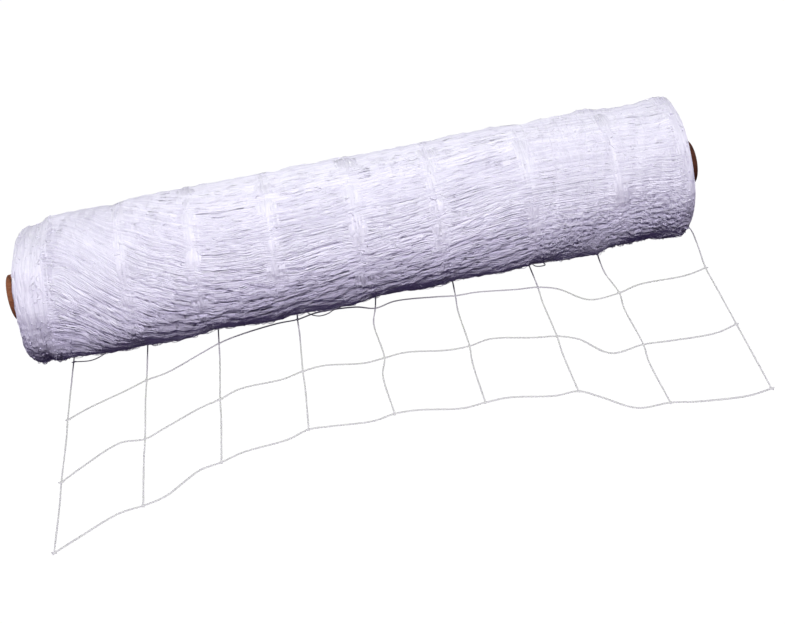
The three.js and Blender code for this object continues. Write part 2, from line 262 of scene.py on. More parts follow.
# Dashes around the roll beside the bead, ragged bits along the lower edge and tufts
DASHES = {"count": 150, "at": -0.556, "spread": 12.0 * MM, "turning": 0.1, "length": 14.0 * MM}
DASH_LIFTS = (0.2 * MM, 0.6 * MM)
RAGGED = {"count": 170, "inset": 0.01, "around": 0.10, "turning": 0.5, "length": 20.0 * MM}
RAGGED_LIFTS = (0.5 * MM, 3.5 * MM)
BAND_TUFTS = {"count": 26, "upper": 8, "spread": 12.0 * MM, "around": 0.06, "top": 2.5 * MM}
LOW_TUFTS = [(0.520, 0.045, 70), (-0.581, 0.007, 46), (-0.556, 0.004, 14)]
LOW_TUFT_TOP = 4.0 * MM
LOW_TUFT_AROUND = 0.05
TUFT_REST = 0.2 * MM
TUFT_LENGTH = 9.0 * MM
# Strands pulled askew, with the turns in degrees where they start and end
FANS = [
    {"count": 18, "from": 0.306, "to": (0.335, 0.395), "first_turn": (140, 165), "last_turn": (84, 112)},
    {"count": 14, "from": 0.365, "to": (0.455, 0.475), "first_turn": (118, 140), "last_turn": (92, 106)},
]
FAN_STEPS = 20
FAN_LIFT = 0.9 * MM
FAN_BEND = 0.05
FAN_PHASE = 0.25
FAN_TONES = (0.6, 1.0)
FAN_HALF_WIDTH = 0.8 * MM
FAN_HALF_HEIGHT = 0.65 * MM
# The strands hang slack from this turn down to this one, so more of their creases stand open there
SLACK_FROM = math.radians(50.0)
SLACK_TO = math.radians(105.0)
# The net is pressed smoother on the underside: from this turn on its creases keep this share of their depth
UNDERSIDE = math.radians(115.0)
UNDERSIDE_REACH = math.radians(14.0)
UNDERSIDE_CREASES = 0.12
# Around the upper edge creases are shallower by this share, and strands stray and dive less by that one
BACK_CALM = 0.92
BACK_SETTLED = 0.6
BACK_REACH = math.radians(58.0)

# The wound net hangs in bellies between the strands drawn out of it, around this turn of its lower edge. They
# are deepest past the middle.
LOWER_EDGE = math.radians(138.0)
LOWER_REACH = math.radians(22.0)
BELLY_REST = 2.5 * MM
BELLY_SHIFT = 1.8
# The left end is drawn up by this much along the lower edge, and more so beside its bead
FOOT = {"rise": 6.0 * MM, "inset": 0.005, "reach": 0.02}
FOOT_NOTCH = {"at": -0.576, "reach": 7.0 * MM, "depth": 4.0 * MM}

# Humps and hollows along the upper and the lower edge, and broad swells on the front, low down at the left
# and higher up in the middle. Each row has its place along the roll, and its reach and height in
# millimetres.
UPPER_EDGE = math.radians(-41.0)
HUMPS = [
    {"turn": UPPER_EDGE, "around": math.radians(28.0), "rows": [
        (-0.590, 14.0, -2.5), (-0.553, 9.0, 8.5), (-0.432, 15.0, -4.5), (-0.300, 30.0, -1.5),
        (-0.130, 12.0, -4.0), (-0.028, 16.0, 2.5), (0.170, 15.0, -2.5), (0.268, 14.0, 2.5),
        (0.335, 18.0, -2.5), (0.442, 18.0, 4.0),
    ]},
    {"turn": LOWER_EDGE, "around": LOWER_REACH, "rows": [
        (-0.215, 20.0, -1.5), (0.055, 30.0, -2.5), (0.430, 15.0, 6.0), (0.540, 25.0, -3.0),
    ]},
    {"turn": math.radians(104.0), "around": math.radians(20.0), "rows": [(-0.430, 140.0, 6.0)]},
    {"turn": math.radians(74.0), "around": math.radians(20.0), "rows": [(0.110, 150.0, 3.5)]},
]

# The drawn-out end of the net, in millimetres. One row for each lengthwise strand: its knot on the front
# edge, the step from one knot to the next towards the roll, its bow, and where it goes under the roll.
STRANDS = [
    {"x": -575, "y": -511, "step_x": 4.0, "step_y": 150.5, "bow": 1, "root": -562},
    {"x": -437, "y": -452, "step_x": 4.5, "step_y": 152.5, "bow": -1, "root": -424},
    {"x": -308, "y": -393, "step_x": 7.5, "step_y": 154.0, "bow": 1, "root": -291},
    {"x": -159, "y": -360, "step_x": 8.0, "step_y": 149.0, "bow": 1, "root": -140},
    {"x": -14, "y": -366, "step_x": 8.5, "step_y": 145.0, "bow": -8, "root": 13},
    {"x": 137, "y": -385, "step_x": 8.5, "step_y": 148.5, "bow": -3, "root": 161},
    {"x": 291, "y": -405, "step_x": 7.5, "step_y": 146.0, "bow": -2, "root": 310},
    {"x": 423, "y": -475, "step_x": 9.0, "step_y": 149.0, "bow": -4, "root": 445},
    {"x": 587, "y": -492, "step_x": 13.5, "step_y": 167.5, "bow": 0, "root": 634},
]
# One row for each mesh across the net: how far its three cross strands, front to back, bow away from the
# straight line between their knots, at the share NEAR_AT of the way and further on at the share far_at, and
# how far the wound net hangs out above it.
MESHES = [
    {"near": (4, 9, 3), "far": (10, 20, 0), "far_at": 0.75, "belly": 5.0},
    {"near": (-6, 1, -7), "far": (8, 4, -2), "far_at": 0.75, "belly": 4.0},
    {"near": (4, 9, 6), "far": (-5, -3, 6), "far_at": 0.75, "belly": 6.0},
    {"near": (-2, 6, 12), "far": (-8, -5, 12), "far_at": 0.75, "belly": 6.0},
    {"near": (2, 7, 12), "far": (-7, -3, 6), "far_at": 0.75, "belly": 2.5},
    {"near": (5, 13, 4), "far": (-4, 3, 0), "far_at": 0.75, "belly": 5.5},
    {"near": (-7, -2, -1), "far": (-22, -31, -26), "far_at": 0.66, "belly": 4.0},
    {"near": (-6, -5, 7), "far": (-9, -11, -5), "far_at": 0.75, "belly": 1.0},
]
NEAR_AT = 0.25
# A lengthwise strand bows most at this share of the way from a knot back to the one in front of it
BOW_AT = 0.3
ROWS = 3
ROOT_Y = -22
# How a few lengthwise strands end at the roll instead, by their place in the list
ENDINGS = {
    7: [(436, -115), (438, -80), (446, -22)],
    8: [(629, -78), (635, -32), (630, -6), (612, 8), (594, 8)],
}
# The cross strand that slips under the roll at the left, and stray loops beside the roll
LOOPS = [
    [(-562, -52), (-525, -57), (-478, -24)],
    [(-141, -26), (-128, -37), (-117, -55), (-102, -65), (-85, -63), (-74, -56), (-60, -52)],
    [(308, -26), (314, -33), (321, -49), (338, -51), (333, -36), (318, -30)],
]
LOOSE_HALF_WIDTH = 1.3 * MM
CROSS_HALF_WIDTH = 1.9 * MM
LOOP_HALF_WIDTH = LOOSE_HALF_WIDTH * 0.9
LOOSE_HALF_HEIGHT = 0.8 * MM
LOOSE_SIDES = 8
LOOSE_STEPS = 14
LOOP_STEPS = 10
LENGTH_TONES = (0.3, 0.8)
# Cross strands take darker tones than lengthwise ones: painted shade against the lamps lighting their tops
# brightly.
CROSS_SHADE_TONES = (0.0, 0.2)
LOOP_TONE = 0.6
# A loose strand is a little uneven in width, in so many cycles
LOOSE_UNEVEN = 0.07
LOOSE_CYCLES = (6.0, 12.0)
# A knot of the loose net: half its height, and its half length and width and those of its ears in
# millimetres. The ears stand out so far, and are a share as high.
LOOSE_KNOT_HEIGHT = 0.9 * MM
LOOSE_KNOT = (4.4, 2.3)
LOOSE_EAR = (1.6, 2.6)
EAR_OUT = 2.6 * MM
EAR_HEIGHT = 0.9
LOOSE_KNOT_TURNING = 0.2
LOOSE_KNOT_SIZES = (0.85, 1.15)
LOOSE_KNOT_TONE = 0.6
EAR_TONE = 0.5

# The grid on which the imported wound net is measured, by rays cast in from this radius, and how far its coarse
# ridges are smoothed, in grid steps. A place is held so far short of the grid's last row.
GRID_FROM = -0.588
GRID_TO = 0.589
GRID_STEP = 0.004
GRID_TURNS = 180
GRID_END = 1.001
BLUR_AROUND = 2.2
BLUR_ALONG = 1.2
CAST_FROM = 0.2

# Steps around the bulk of the net and the core
FORM_STEPS = 96
# The bulk lies under the skin by these lifts. Its rings lie in these shares of a rounding at each end.
BULK_DEPTH = {"tight": -4.0 * MM, "slack": -10.0 * MM, "margin": -1.2 * MM, "face": -2.0 * MM}
BULK_MARGIN = 0.02
BULK_ROUNDING = (0.0, 0.05, 0.15, 0.35, 0.65)
BULK_RINGS = 90
BULK_FACE_RINGS = 8
# The bulk's darker tone is painted shade where it shows between the strands.
BULK_SHADE_TONE = 0.3
# The core: how far its rims are worn, the rings along it, the outer ones so far from its ends, its tone,
# and how far its seam moves on in a turn
CORE_WEAR = 0.5 * MM
CORE_RINGS = 24
CORE_INSET = 0.01
CORE_TONE = 0.5
SEAM_PITCH = 0.105
# The room left around each patch of a piece's map
PATCH_MARGIN = 0.04
# The studio: how far the floor and the backdrop reach, and how far they lie below the ground
FLOOR_REACH = 20.0
FLOOR_HEIGHT = -0.0004
BACKDROP_REACH = 18.0
BACKDROP_SUNK = 0.01
LAMP_DEPTH = 0.7
# The order of a face's corners when it is to look the other way
TURNED_OVER = [0, 3, 2, 1]


def mixed(first, second, share):
    return first + (second - first) * share


def smooth_step(share):
    held = np.clip(share, 0.0, 1.0)
    return held * held * (3.0 - 2.0 * held)


def near_turn(turn, middle, reach):
    """1 at a turn around the roll, falling to 0 away from it."""
    away = np.mod(turn - middle + math.pi, TAU) - math.pi
    return np.exp(-((away / reach) ** 2))


def random_waves(rng, count, around, swings):
    """Waves of a smooth random field: cycles around the roll, cycles along a stretch, phase and size."""
    cycles = np.rint(rng.normal(around, WAVE_SPREAD * around, count))
    along = rng.normal(0.0, swings, count)
    size = rng.normal(0.0, math.sqrt(2.0 / count), count)
    return list(zip(cycles, along, rng.uniform(0.0, TAU, count), size))


def field(waves, turn, share):
    """A random field of about unit size around and along a stretch."""
    total = np.zeros(np.broadcast_shapes(turn.shape, share.shape))
    for cycles, along, phase, size in waves:
        total += size * np.sin(cycles * turn + TAU * along * share + phase)
    return total


def swings_along(rng, count, cycles, share):
    """A wave along each of some strands, with cycles between two numbers and its own phase."""
    return np.sin(TAU * (rng.uniform(*cycles, (count, 1)) * share + rng.uniform(0.0, 1.0, (count, 1))))


LUMP_WAVES = random_waves(
    np.random.default_rng(SEEDS["lumps"]), LUMPS["waves"], LUMPS["around"], LUMPS["swings"]
)


def lean_of(along, turn):
    """The windings lean, most at the left end, so what lies on them moves along the roll. Both ends are
    pressed in a little at the front."""
    size = mixed(LEAN_LEFT, LEAN_MIDDLE, smooth_step((along - LEFT_END) / LEAN_REACH))
    size = mixed(size, LEAN_RIGHT, smooth_step((along - LEAN_EASES_FROM) / LEAN_EASES_OVER))
    left = smooth_step(1.0 - (along - LEFT_END) / DENT_REACH)
    left = left * near_turn(turn, LEFT_DENT["turn"], LEFT_DENT["around"])
    right = smooth_step(1.0 - (RIGHT_END - along) / DENT_REACH)
    right = right * near_turn(turn, RIGHT_DENT["turn"], RIGHT_DENT["around"])
    return size * np.cos(turn + LEAN_BEHIND) + LEFT_DENT["depth"] * left - RIGHT_DENT["depth"] * right


def rounded_end(distance, rounding):
    """How far a rounded end falls in from the full radius, for a distance from the end of the roll."""
    inside = np.clip(1.0 - distance / rounding, 0.0, 1.0)
    return rounding * (1.0 - np.sqrt(1.0 - inside * inside))


def blurred(values, reach, axis, around):
    """Values smoothed along one axis, which closes on itself if around is true."""
    width = int(math.ceil(3 * reach))
    offsets = np.arange(-width, width + 1)
    weights = np.exp(-0.5 * (offsets / reach) ** 2)
    weights /= weights.sum()
    count = values.shape[axis]
    total = np.zeros_like(values)
    for offset, weight in zip(offsets, weights):
        places = np.arange(count) + offset
        places = places % count if around else np.clip(places, 0, count - 1)
        total += weight * np.take(values, places, axis=axis)
    return total


def radius_grid():
    """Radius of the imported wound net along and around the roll, with its coarse ridges smoothed away."""
    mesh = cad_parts["net_roll"].data
    corners = [vertex.co for vertex in mesh.vertices]
    tree = BVHTree.FromPolygons(corners, [polygon.vertices for polygon in mesh.polygons])
    places = np.arange(GRID_FROM, GRID_TO, GRID_STEP)
    radii = np.zeros((len(places), GRID_TURNS))
    for column in range(GRID_TURNS):
        turn = TAU * column / GRID_TURNS
        outward = Vector((0.0, -math.sin(turn), math.cos(turn)))
        for row, along in enumerate(places):
            middle = Vector((along + float(lean_of(along, turn)), 0.0, AXIS_HEIGHT))
            hit = tree.ray_cast(middle + outward * CAST_FROM, -outward)[0]
            radii[row, column] = (hit - middle).length
    return blurred(blurred(radii, BLUR_AROUND, 1, True), BLUR_ALONG, 0, False)


GRID = radius_grid()


def belly(along, turn):
    """How far the wound net hangs out along its lower edge: in bellies between the drawn-out strands."""
    roots = np.array([data["root"] for data in STRANDS]) * MM
    mesh = np.clip(np.searchsorted(roots, along) - 1, 0, len(roots) - 2)
    across = np.clip((along - roots[mesh]) / (roots[mesh + 1] - roots[mesh]), 0.0, 1.0)
    deepest = np.array([data["belly"] for data in MESHES]) * MM
    sag = deepest[mesh] * np.sin(math.pi * across**BELLY_SHIFT) - BELLY_REST
    beside = np.exp(-(((along - FOOT_NOTCH["at"]) / FOOT_NOTCH["reach"]) ** 2))
    foot = FOOT["rise"] * smooth_step((roots[0] + FOOT["inset"] - along) / FOOT["reach"])
    foot = foot + FOOT_NOTCH["depth"] * beside
    return (sag * (along > roots[0]) - foot) * near_turn(turn, LOWER_EDGE, LOWER_REACH)


def humps(along, turn):
    """How far the wound net stands out, or is drawn in, along its edges and on its front."""
    total = np.zeros(np.broadcast_shapes(np.shape(along), np.shape(turn)))
    for group in HUMPS:
        around = near_turn(turn, group["turn"], group["around"])
        for at, reach, height in group["rows"]:
            beside = np.exp(-(((along - at) / (reach * MM)) ** 2))
            total = total + height * MM * beside * around
    return total


def skin_radius(along, turn):
    """Radius of the smoothed wound net with its bellies, lumps, humps and both rounded ends."""
    row = np.clip((along - GRID_FROM) / GRID_STEP, 0.0, GRID.shape[0] - GRID_END)
    column = np.mod(turn / TAU, 1.0) * GRID_TURNS
    low = row.astype(int)
    near = np.floor(column).astype(int) % GRID_TURNS
    far = (near + 1) % GRID_TURNS
    across = column - np.floor(column)
    lower = mixed(GRID[low, near], GRID[low, far], across)
    upper = mixed(GRID[low + 1, near], GRID[low + 1, far], across)
    left = rounded_end(along - LEFT_END, LEFT_ROUNDING)
    right = rounded_end(RIGHT_END - along, RIGHT_ROUNDING)
    uneven = LUMPS["height"] * field(LUMP_WAVES, turn, along / MESH) + humps(along, turn)
    return mixed(lower, upper, row - low) + belly(along, turn) + uneven - left - right


def outward_at(turn):
    return np.stack([np.zeros_like(turn), -np.sin(turn), np.cos(turn)], axis=-1)


def on_skin(along, turn, lift):
    """Points a little over the skin of the wound net, and the directions out of it. None is in the ground."""
    along, turn, lift = np.broadcast_arrays(along, turn, lift)
    outward = outward_at(turn)
    points = (skin_radius(along, turn) + lift)[..., None] * outward
    points[..., 0] = along + lean_of(along, turn)
    points[..., 2] = np.maximum(points[..., 2] + AXIS_HEIGHT, STRAND_HALF_HEIGHT)
    return points, outward


def on_end(side, share, turn, lift):
    """Points over an end face of the wound net, share 0 at the core and 1 at the rim, and directions out."""
    share, turn, lift = np.broadcast_arrays(share, turn, lift)
    end = LEFT_END if side < 0 else RIGHT_END
    radius = mixed(NET_BORE, skin_radius(np.full_like(turn, end), turn), share)
    points = radius[..., None] * outward_at(turn)
    points[..., 0] = end + side * (END_DOME * np.sin(math.pi * share) + lift) + share * lean_of(end, turn)
    points[..., 2] = np.maximum(points[..., 2] + AXIS_HEIGHT, STRAND_HALF_HEIGHT)
    outward = np.zeros_like(points)
    outward[..., 0] = side
    return points, outward


class Pile:
    """The geometry of one piece, gathered from arrays and then built as one mesh."""

    def __init__(self, columns, smooth=True):
        self.columns = columns
        self.smooth = smooth
        self.points = []
        self.tones = []
        self.faces = []
        self.places = []
        self.patches = []
        self.point_count = 0
        self.patch_count = 0

    def add(self, points, faces, tones):
        """Copies of one form, each on a patch of its own. points has a row for each copy, faces are pairs of
        corners and of their spots on the patch, and a copy's points share a tone."""
        copies, count = points.shape[:2]
        shift = self.point_count + (np.arange(copies) * count)[:, None, None]
        for corners, spots in faces:
            self.faces.append((corners + shift).reshape(-1, corners.shape[1]))
            self.places.append(np.tile(spots, (copies, 1, 1)))
            self.patches.append(self.patch_count + np.repeat(np.arange(copies), len(corners)))
        self.points.append(points.reshape(-1, 3))
        self.tones.append(np.repeat(np.broadcast_to(tones, (copies,)), count))
        self.point_count += copies * count
        self.patch_count += copies

    def map_corners(self):
        """Lays the patches out in columns on one square map."""
        rows = math.ceil(self.patch_count / self.columns)
        cells = []
        for spots, patch in zip(self.places, self.patches):
            corner = np.stack([patch // rows, patch % rows], axis=-1)[:, None, :]
            inside = corner + PATCH_MARGIN + (1.0 - 2.0 * PATCH_MARGIN) * spots
            cells.append((inside / np.array([self.columns, rows])).reshape(-1, 2))
        return np.concatenate(cells)

    def build(self, name, material, node):
        points = np.concatenate(self.points)
        points[:, 2] = np.maximum(points[:, 2], 0.0)
        corners = np.concatenate([face.ravel() for face in self.faces])
        sizes = np.concatenate([np.full(len(face), face.shape[1]) for face in self.faces])
        starts = np.concatenate([[0], np.cumsum(sizes)[:-1]])
        mesh = bpy.data.meshes.new(name)
        mesh.vertices.add(len(points))
        mesh.vertices.foreach_set("co", points.astype(np.float32).ravel())
        mesh.loops.add(len(corners))
        mesh.loops.foreach_set("vertex_index", corners.astype(np.int32))
        mesh.polygons.add(len(starts))
        mesh.polygons.foreach_set("loop_start", starts.astype(np.int32))
        mesh.update(calc_edges=True)
        tone = mesh.attributes.new("tone", "FLOAT", "POINT")
        tone.data.foreach_set("value", np.concatenate(self.tones).astype(np.float32))
        uv_map = mesh.uv_layers.new(name="OFBake")
        uv_map.data.foreach_set("uv", self.map_corners().astype(np.float32).ravel())
        if self.smooth:
            mesh.shade_smooth()
        else:
            mesh.shade_flat()
        mesh.materials.append(material)
        piece = bpy.data.objects.new(name, mesh)
        bpy.context.scene.collection.objects.link(piece)
        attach(piece, "root")
        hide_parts(node)
        return piece


def grid_faces(rows, columns, closed):
    """Faces over rows and columns of points and the spots of their corners, from 0 to 1 both ways. The
    columns close on themselves, and so do the rows if closed is true."""
    last = rows if closed else rows - 1
    row, column = np.meshgrid(np.arange(last), np.arange(columns), indexing="ij")
    row = row.reshape(-1, 1) + np.array([0, 0, 1, 1])
    column = column.reshape(-1, 1) + np.array([0, 1, 1, 0])
    spots = np.stack([row, column], axis=-1) / np.array([last, columns])
    return row % rows * columns + column % columns, spots


def directions(points, closed):
    """Unit directions along rows of points."""
    if closed:
        ahead = np.roll(points, -1, axis=1) - np.roll(points, 1, axis=1)
    else:
        ahead = np.gradient(points, axis=1)
    return ahead / np.maximum(np.linalg.norm(ahead, axis=-1, keepdims=True), TINY)


def add_tubes(pile, points, outward, half_width, half_height, sides, tones, closed=False):
    """Strands of oval section along rows of points, open ones with ends, all as one set of arrays."""
    strands, steps = points.shape[:2]
    along = directions(points, closed)
    sideways = np.cross(along, outward)
    sideways /= np.maximum(np.linalg.norm(sideways, axis=-1, keepdims=True), TINY)
    upward = np.cross(sideways, along)
    angles = TAU * (np.arange(sides) / sides) + math.pi / 2.0
    half_width = np.broadcast_to(half_width, (strands, steps))[..., None, None]
    half_height = np.broadcast_to(half_height, (strands, steps))[..., None, None]
    ring = (
        points[:, :, None, :]
        + half_width * np.cos(angles)[:, None] * sideways[:, :, None, :]
        + half_height * np.sin(angles)[:, None] * upward[:, :, None, :]
    )
    quads, spots = grid_faces(steps, sides, closed)
    faces = [(quads[:, TURNED_OVER], spots[:, TURNED_OVER])]
    if not closed:
        around = np.arange(sides)
        for end, order in ((0, around), (steps - 1, around[::-1])):
            rim = np.stack([np.full(sides, float(end > 0)), order / sides], axis=-1)
            faces.append(((end * sides + order)[None], rim[None]))
    pile.add(ring.reshape(strands, -1, 3), faces, tones)


def add_knots(pile, middles, first, second, third, tones):
    """Small lumps with their three half axes given as rows of vectors."""
    around = 6
    rings = 3
    turns = TAU * np.arange(around) / around
    heights = np.linspace(-1.0, 1.0, rings + 2)[1:-1]
    level = np.sin(heights * math.pi / 2.0)
    width = np.cos(heights * math.pi / 2.0)
    body = np.stack(
        [
            np.outer(width, np.cos(turns)),
            np.outer(width, np.sin(turns)),
            np.repeat(level[:, None], around, axis=1),
        ],
        axis=-1,
    ).reshape(-1, 3)
    shape = np.concatenate([body, [[0.0, 0.0, -1.0], [0.0, 0.0, 1.0]]])
    points = middles[:, None, :] + (
        shape[None, :, 0:1] * first[:, None, :]
        + shape[None, :, 1:2] * second[:, None, :]
        + shape[None, :, 2:3] * third[:, None, :]
    )
    quads, spots = grid_faces(rings, around, False)
    faces = [(quads, spots[..., ::-1])]
    spokes = np.arange(around)
    for pole, ring, sides in ((0, 0, (1, 0)), (1, rings - 1, (0, 1))):
        corners = [np.full(around, rings * around + pole)]
        corners += [ring * around + (spokes + side) % around for side in sides]
        across = np.stack([spokes + 0.5] + [spokes + side for side in sides], axis=-1) / around
        spots = np.stack([across, np.full_like(across, pole)], axis=-1)
        faces.append((np.stack(corners, axis=-1), spots))
    pile.add(points, faces, tones)


def add_rings(pile, points, tone):
    """A closed skin over rings of points, the last ring joined to the first."""
    count, around = points.shape[:2]
    pile.add(points.reshape(1, -1, 3), [grid_faces(count, around, True)], tone)


def ridges(waves, turn, share):
    """Rounded ridges of even height with a sharp crease between two, 0 in a crease and 1 on a ridge."""
    total = np.zeros(np.broadcast_shapes(turn.shape, share.shape), dtype=complex)
    for cycles, along, phase, size in waves:
        total += size * np.exp(1j * (cycles * turn + TAU * along * share + phase))
    return np.abs(np.cos(np.angle(total) / 2.0))


class Creases:
    """The creases of one part of the roll, which open and close along their way."""

    def __init__(self, look):
        rng = np.random.default_rng(look["seed"])
        self.lines = random_waves(rng, CREASE_WAVES, look["creases"], look["swings"])
        self.fine_lines = random_waves(
            rng, CREASE_WAVES, FINE["creases"] * look["creases"], FINE["swings"] * look["swings"]
        )
        self.billows = random_waves(rng, BILLOW_WAVES, BILLOWS["creases"], BILLOWS["swings"])
        self.breaks = random_waves(rng, BREAK_WAVES, BREAKS_AROUND, look["breaks"])
        self.fine_breaks = random_waves(rng, BREAK_WAVES, FINE_BREAKS_AROUND, FINE["breaks"] * look["breaks"])
        self.tight = look["tight"]
        self.slack = look["slack"]

    def fine(self, combed, slack, meshes):
        """How deep the fine creases are, 0 on a ridge and 1 in a crease, and how far they stand open."""
        broken = OPEN_UNEVEN * field(self.fine_breaks, combed, meshes)
        opened = smooth_step(FINE_OPEN["tight"] + FINE_OPEN["slack"] * slack + broken)
        return 1.0 - ridges(self.fine_lines, combed, meshes), opened

    def fall(self, combed, slack, meshes):
        """How far strands fall in at a combed turn and a distance along the roll in meshes."""
        valley = 1.0 - ridges(self.lines, combed, meshes)
        fine, fine_opened = self.fine(combed, slack, meshes)
        billow = 1.0 - ridges(self.billows, combed, meshes)
        broken = OPEN_UNEVEN * field(self.breaks, combed, meshes)
        opened = smooth_step(OPEN["tight"] + OPEN["slack"] * slack + broken)
        depth = mixed(self.tight, self.slack, slack)
        coarse = valley * mixed(CLOSED["tight"] + CLOSED["slack"] * slack, 1.0, opened)
        return depth * (coarse + FINE_DEPTH * fine * fine_opened) + BILLOWS["depth"] * slack * billow

    def bumps(self, combed, slack, meshes):
        """The same for a rough part, where the net lies in round bumps with fine creases over them."""
        hollow = smooth_step(0.5 - BUMP_UNEVEN * field(self.lines, combed, meshes))
        fine, fine_opened = self.fine(combed, slack, meshes)
        return mixed(self.tight, self.slack, slack) * (hollow + BUMP_FINE_DEPTH * fine * fine_opened)


CALM_CREASES = Creases(CALM)
ROUGH_CREASES = Creases(ROUGH)


def turn_from_top(turn):
    """How far a turn is from the top of the roll, whichever way round."""
    return np.abs(np.mod(turn + math.pi, TAU) - math.pi)


def slack_at(turn):
    """How slack the net hangs, 0 over the top and 1 below."""
    return smooth_step((turn_from_top(turn) - SLACK_FROM) / (SLACK_TO - SLACK_FROM))


def sweep_at(along):
    """How far the combed strands have turned at a place along the roll, on a smooth curve through the
    bands."""
    stretch = np.clip(np.searchsorted(BAND_PLACES, along) - 1, 0, len(BAND_PLACES) - 2)
    length = BAND_PLACES[stretch + 1] - BAND_PLACES[stretch]
    share = np.clip((along - BAND_PLACES[stretch]) / length, 0.0, 1.0)
    leaving = SWEEP_SLOPES[stretch] * length * share * (1.0 - share) ** 2
    arriving = SWEEP_SLOPES[stretch + 1] * length * share**2 * (1.0 - share)
    return mixed(BAND_SWEEPS[stretch], BAND_SWEEPS[stretch + 1], smooth_step(share)) + leaving - arriving


def crease_lift(along, turn):
    """How far the net stands out of the skin, or falls in, at a place along the roll and a turn."""
    along, turn = np.broadcast_arrays(along, turn)
    combed = turn - sweep_at(along)
    slack = slack_at(turn)
    rough = smooth_step(np.maximum(along - ROUGH_FROM, BAND_PLACES[0] - along) / ROUGH_REACH)
    past_left = smooth_step((along - BAND_PLACES[1]) / LEFT_CREASES_REACH)
    calm_fall = CALM_CREASES.fall(combed, slack, along / MESH) * mixed(LEFT_CREASES, 1.0, past_left)
    rough_fall = ROUGH_CREASES.bumps(combed, slack * slack, along / MESH)
    to_band = np.abs(along[..., None] - BAND_PLACES).min(axis=-1)
    beside = np.exp(-((to_band / BAND_FADE) ** 2))
    margin = smooth_step((along - BAND_PLACES[0]) / LEFT_MARGIN_REACH)
    margin = margin * smooth_step((BAND_PLACES[-1] - along) / RIGHT_MARGIN_REACH)
    below = smooth_step((turn_from_top(turn) - UNDERSIDE) / UNDERSIDE_REACH)
    kept = 1.0 - beside * mixed(BAND_CALM["tight"], BAND_CALM["slack"], slack)
    kept = kept * mixed(MARGIN_CREASES, 1.0, margin)
    kept = kept * mixed(1.0, UNDERSIDE_CREASES, below)
    kept = kept * (1.0 - BACK_CALM * near_turn(turn, UPPER_EDGE, BACK_REACH))
    return kept * (SWELL * slack - mixed(calm_fall, rough_fall, rough))


def comb(pile, index, layer):
    """Strands of one stretch, combed along the roll from band to band and sunk into its creases."""
    rng = np.random.default_rng(layer["seed"] + index)
    start = BANDS[index]["at"]
    end = BANDS[index + 1]["at"]
    look = STRETCHES[index]
    count = int(look["strands"] * layer["share"])
    share = np.linspace(0.0, 1.0, layer["steps"] if index < CALM_STRETCHES else layer["rough_steps"])
    jitter = rng.uniform(-STRAND_JITTER, STRAND_JITTER, count)
    first_turn = (TAU * (np.arange(count) + jitter) / count)[:, None]
    waves = random_waves(rng, DRIFT["waves"], DRIFT["around"], DRIFT["swings"])
    drift = field(waves, first_turn, share) * look["wander"] / ROLL_RADIUS
    own = rng.normal(0.0, look["stray"], (count, 1)) / ROLL_RADIUS
    own = own * swings_along(rng, count, STRAY_CYCLES, share)
    along = mixed(start, end, share)
    straight = first_turn + sweep_at(along)
    loose = 1.0 - BACK_SETTLED * near_turn(straight, UPPER_EDGE, BACK_REACH)
    turn = straight + loose * (layer["wander"] * drift + own)
    to_band = np.minimum(share, 1.0 - share) * (end - start)
    fade = rng.uniform(*FADES, (count, 1)) * BAND_FADE
    tucked = rng.uniform(*TUCKS, (count, 1)) * MM * (1.0 - smooth_step(to_band / fade))
    dive = rng.normal(0.0, layer["dive"], (count, 1)) * swings_along(rng, count, DIVE_CYCLES, share)
    lift = layer["lift"] + loose * dive - tucked + crease_lift(along, turn)
    points, outward = on_skin(along, turn, lift)
    widths = layer["wide"] * look["wide"] * STRAND_HALF_WIDTH * rng.uniform(*STRAND_WIDTHS, (count, 1))
    add_tubes(pile, points, outward, widths, STRAND_HALF_HEIGHT, THIN_SIDES, rng.uniform(0.0, 1.0, count))


def wave_rows(rng, rows, angle, waves, reach):
    """Gentle random waves that close on themselves around the roll, one row each."""
    total = np.zeros((rows, len(angle)))
    for wave in waves:
        total += rng.normal(0.0, reach, (rows, 1)) * np.sin(wave * angle + rng.uniform(0.0, TAU, (rows, 1)))
    return total


def wind(pile, rng, places, lifts, look):
    """Windings around the roll at places along it."""
    rows = len(places)
    angle = TAU * np.arange(look["steps"]) / look["steps"]
    along = places[:, None] + wave_rows(rng, rows, angle, SLOW_WAVES, look["wander"] * SLOW_SHARE)
    along = along + wave_rows(rng, rows, angle, QUICK_WAVES, look["wander"] * QUICK_SHARE)
    along = np.clip(along, WIND_FROM, WIND_TO)
    lift = lifts[:, None] + wave_rows(rng, rows, angle, ALONE_WAVES, look["alone"])
    lift = lift + wave_rows(rng, 1, angle, TOGETHER_WAVES, look["together"])
    lift = lift + crease_lift(along, angle[None, :])
    points, outward = on_skin(along, angle[None, :], lift)
    widths = look["half_width"] * rng.uniform(*WINDING_WIDTHS, (rows, 1))
    tones = rng.uniform(*WINDING_TONES, rows)
    add_tubes(pile, points, outward, widths, look["half_height"], THIN_SIDES, tones, closed=True)


def wound_bands(pile):
    """The lengthwise strands wound one over another in soft strips, and stray windings at the rough end."""
    rng = np.random.default_rng(SEEDS["bands"])
    for band in BANDS:
        count = band["windings"]
        shares = np.linspace(-1.0, 1.0, count) + rng.normal(0.0, BAND_STRAY / count, count)
        lifts = mixed(BAND_CROWN, BAND_EDGE, shares**2)
        wind(pile, rng, band["at"] + shares * band["spread"], lifts, BAND_LOOK)
    for low, high, count in FINE_WINDINGS:
        places = np.linspace(low, high, count) + rng.normal(0.0, FINE_STRAY, count)
        wind(pile, rng, places, rng.normal(FINE_LIFT, FINE_LIFT, count), FINE_LOOK)


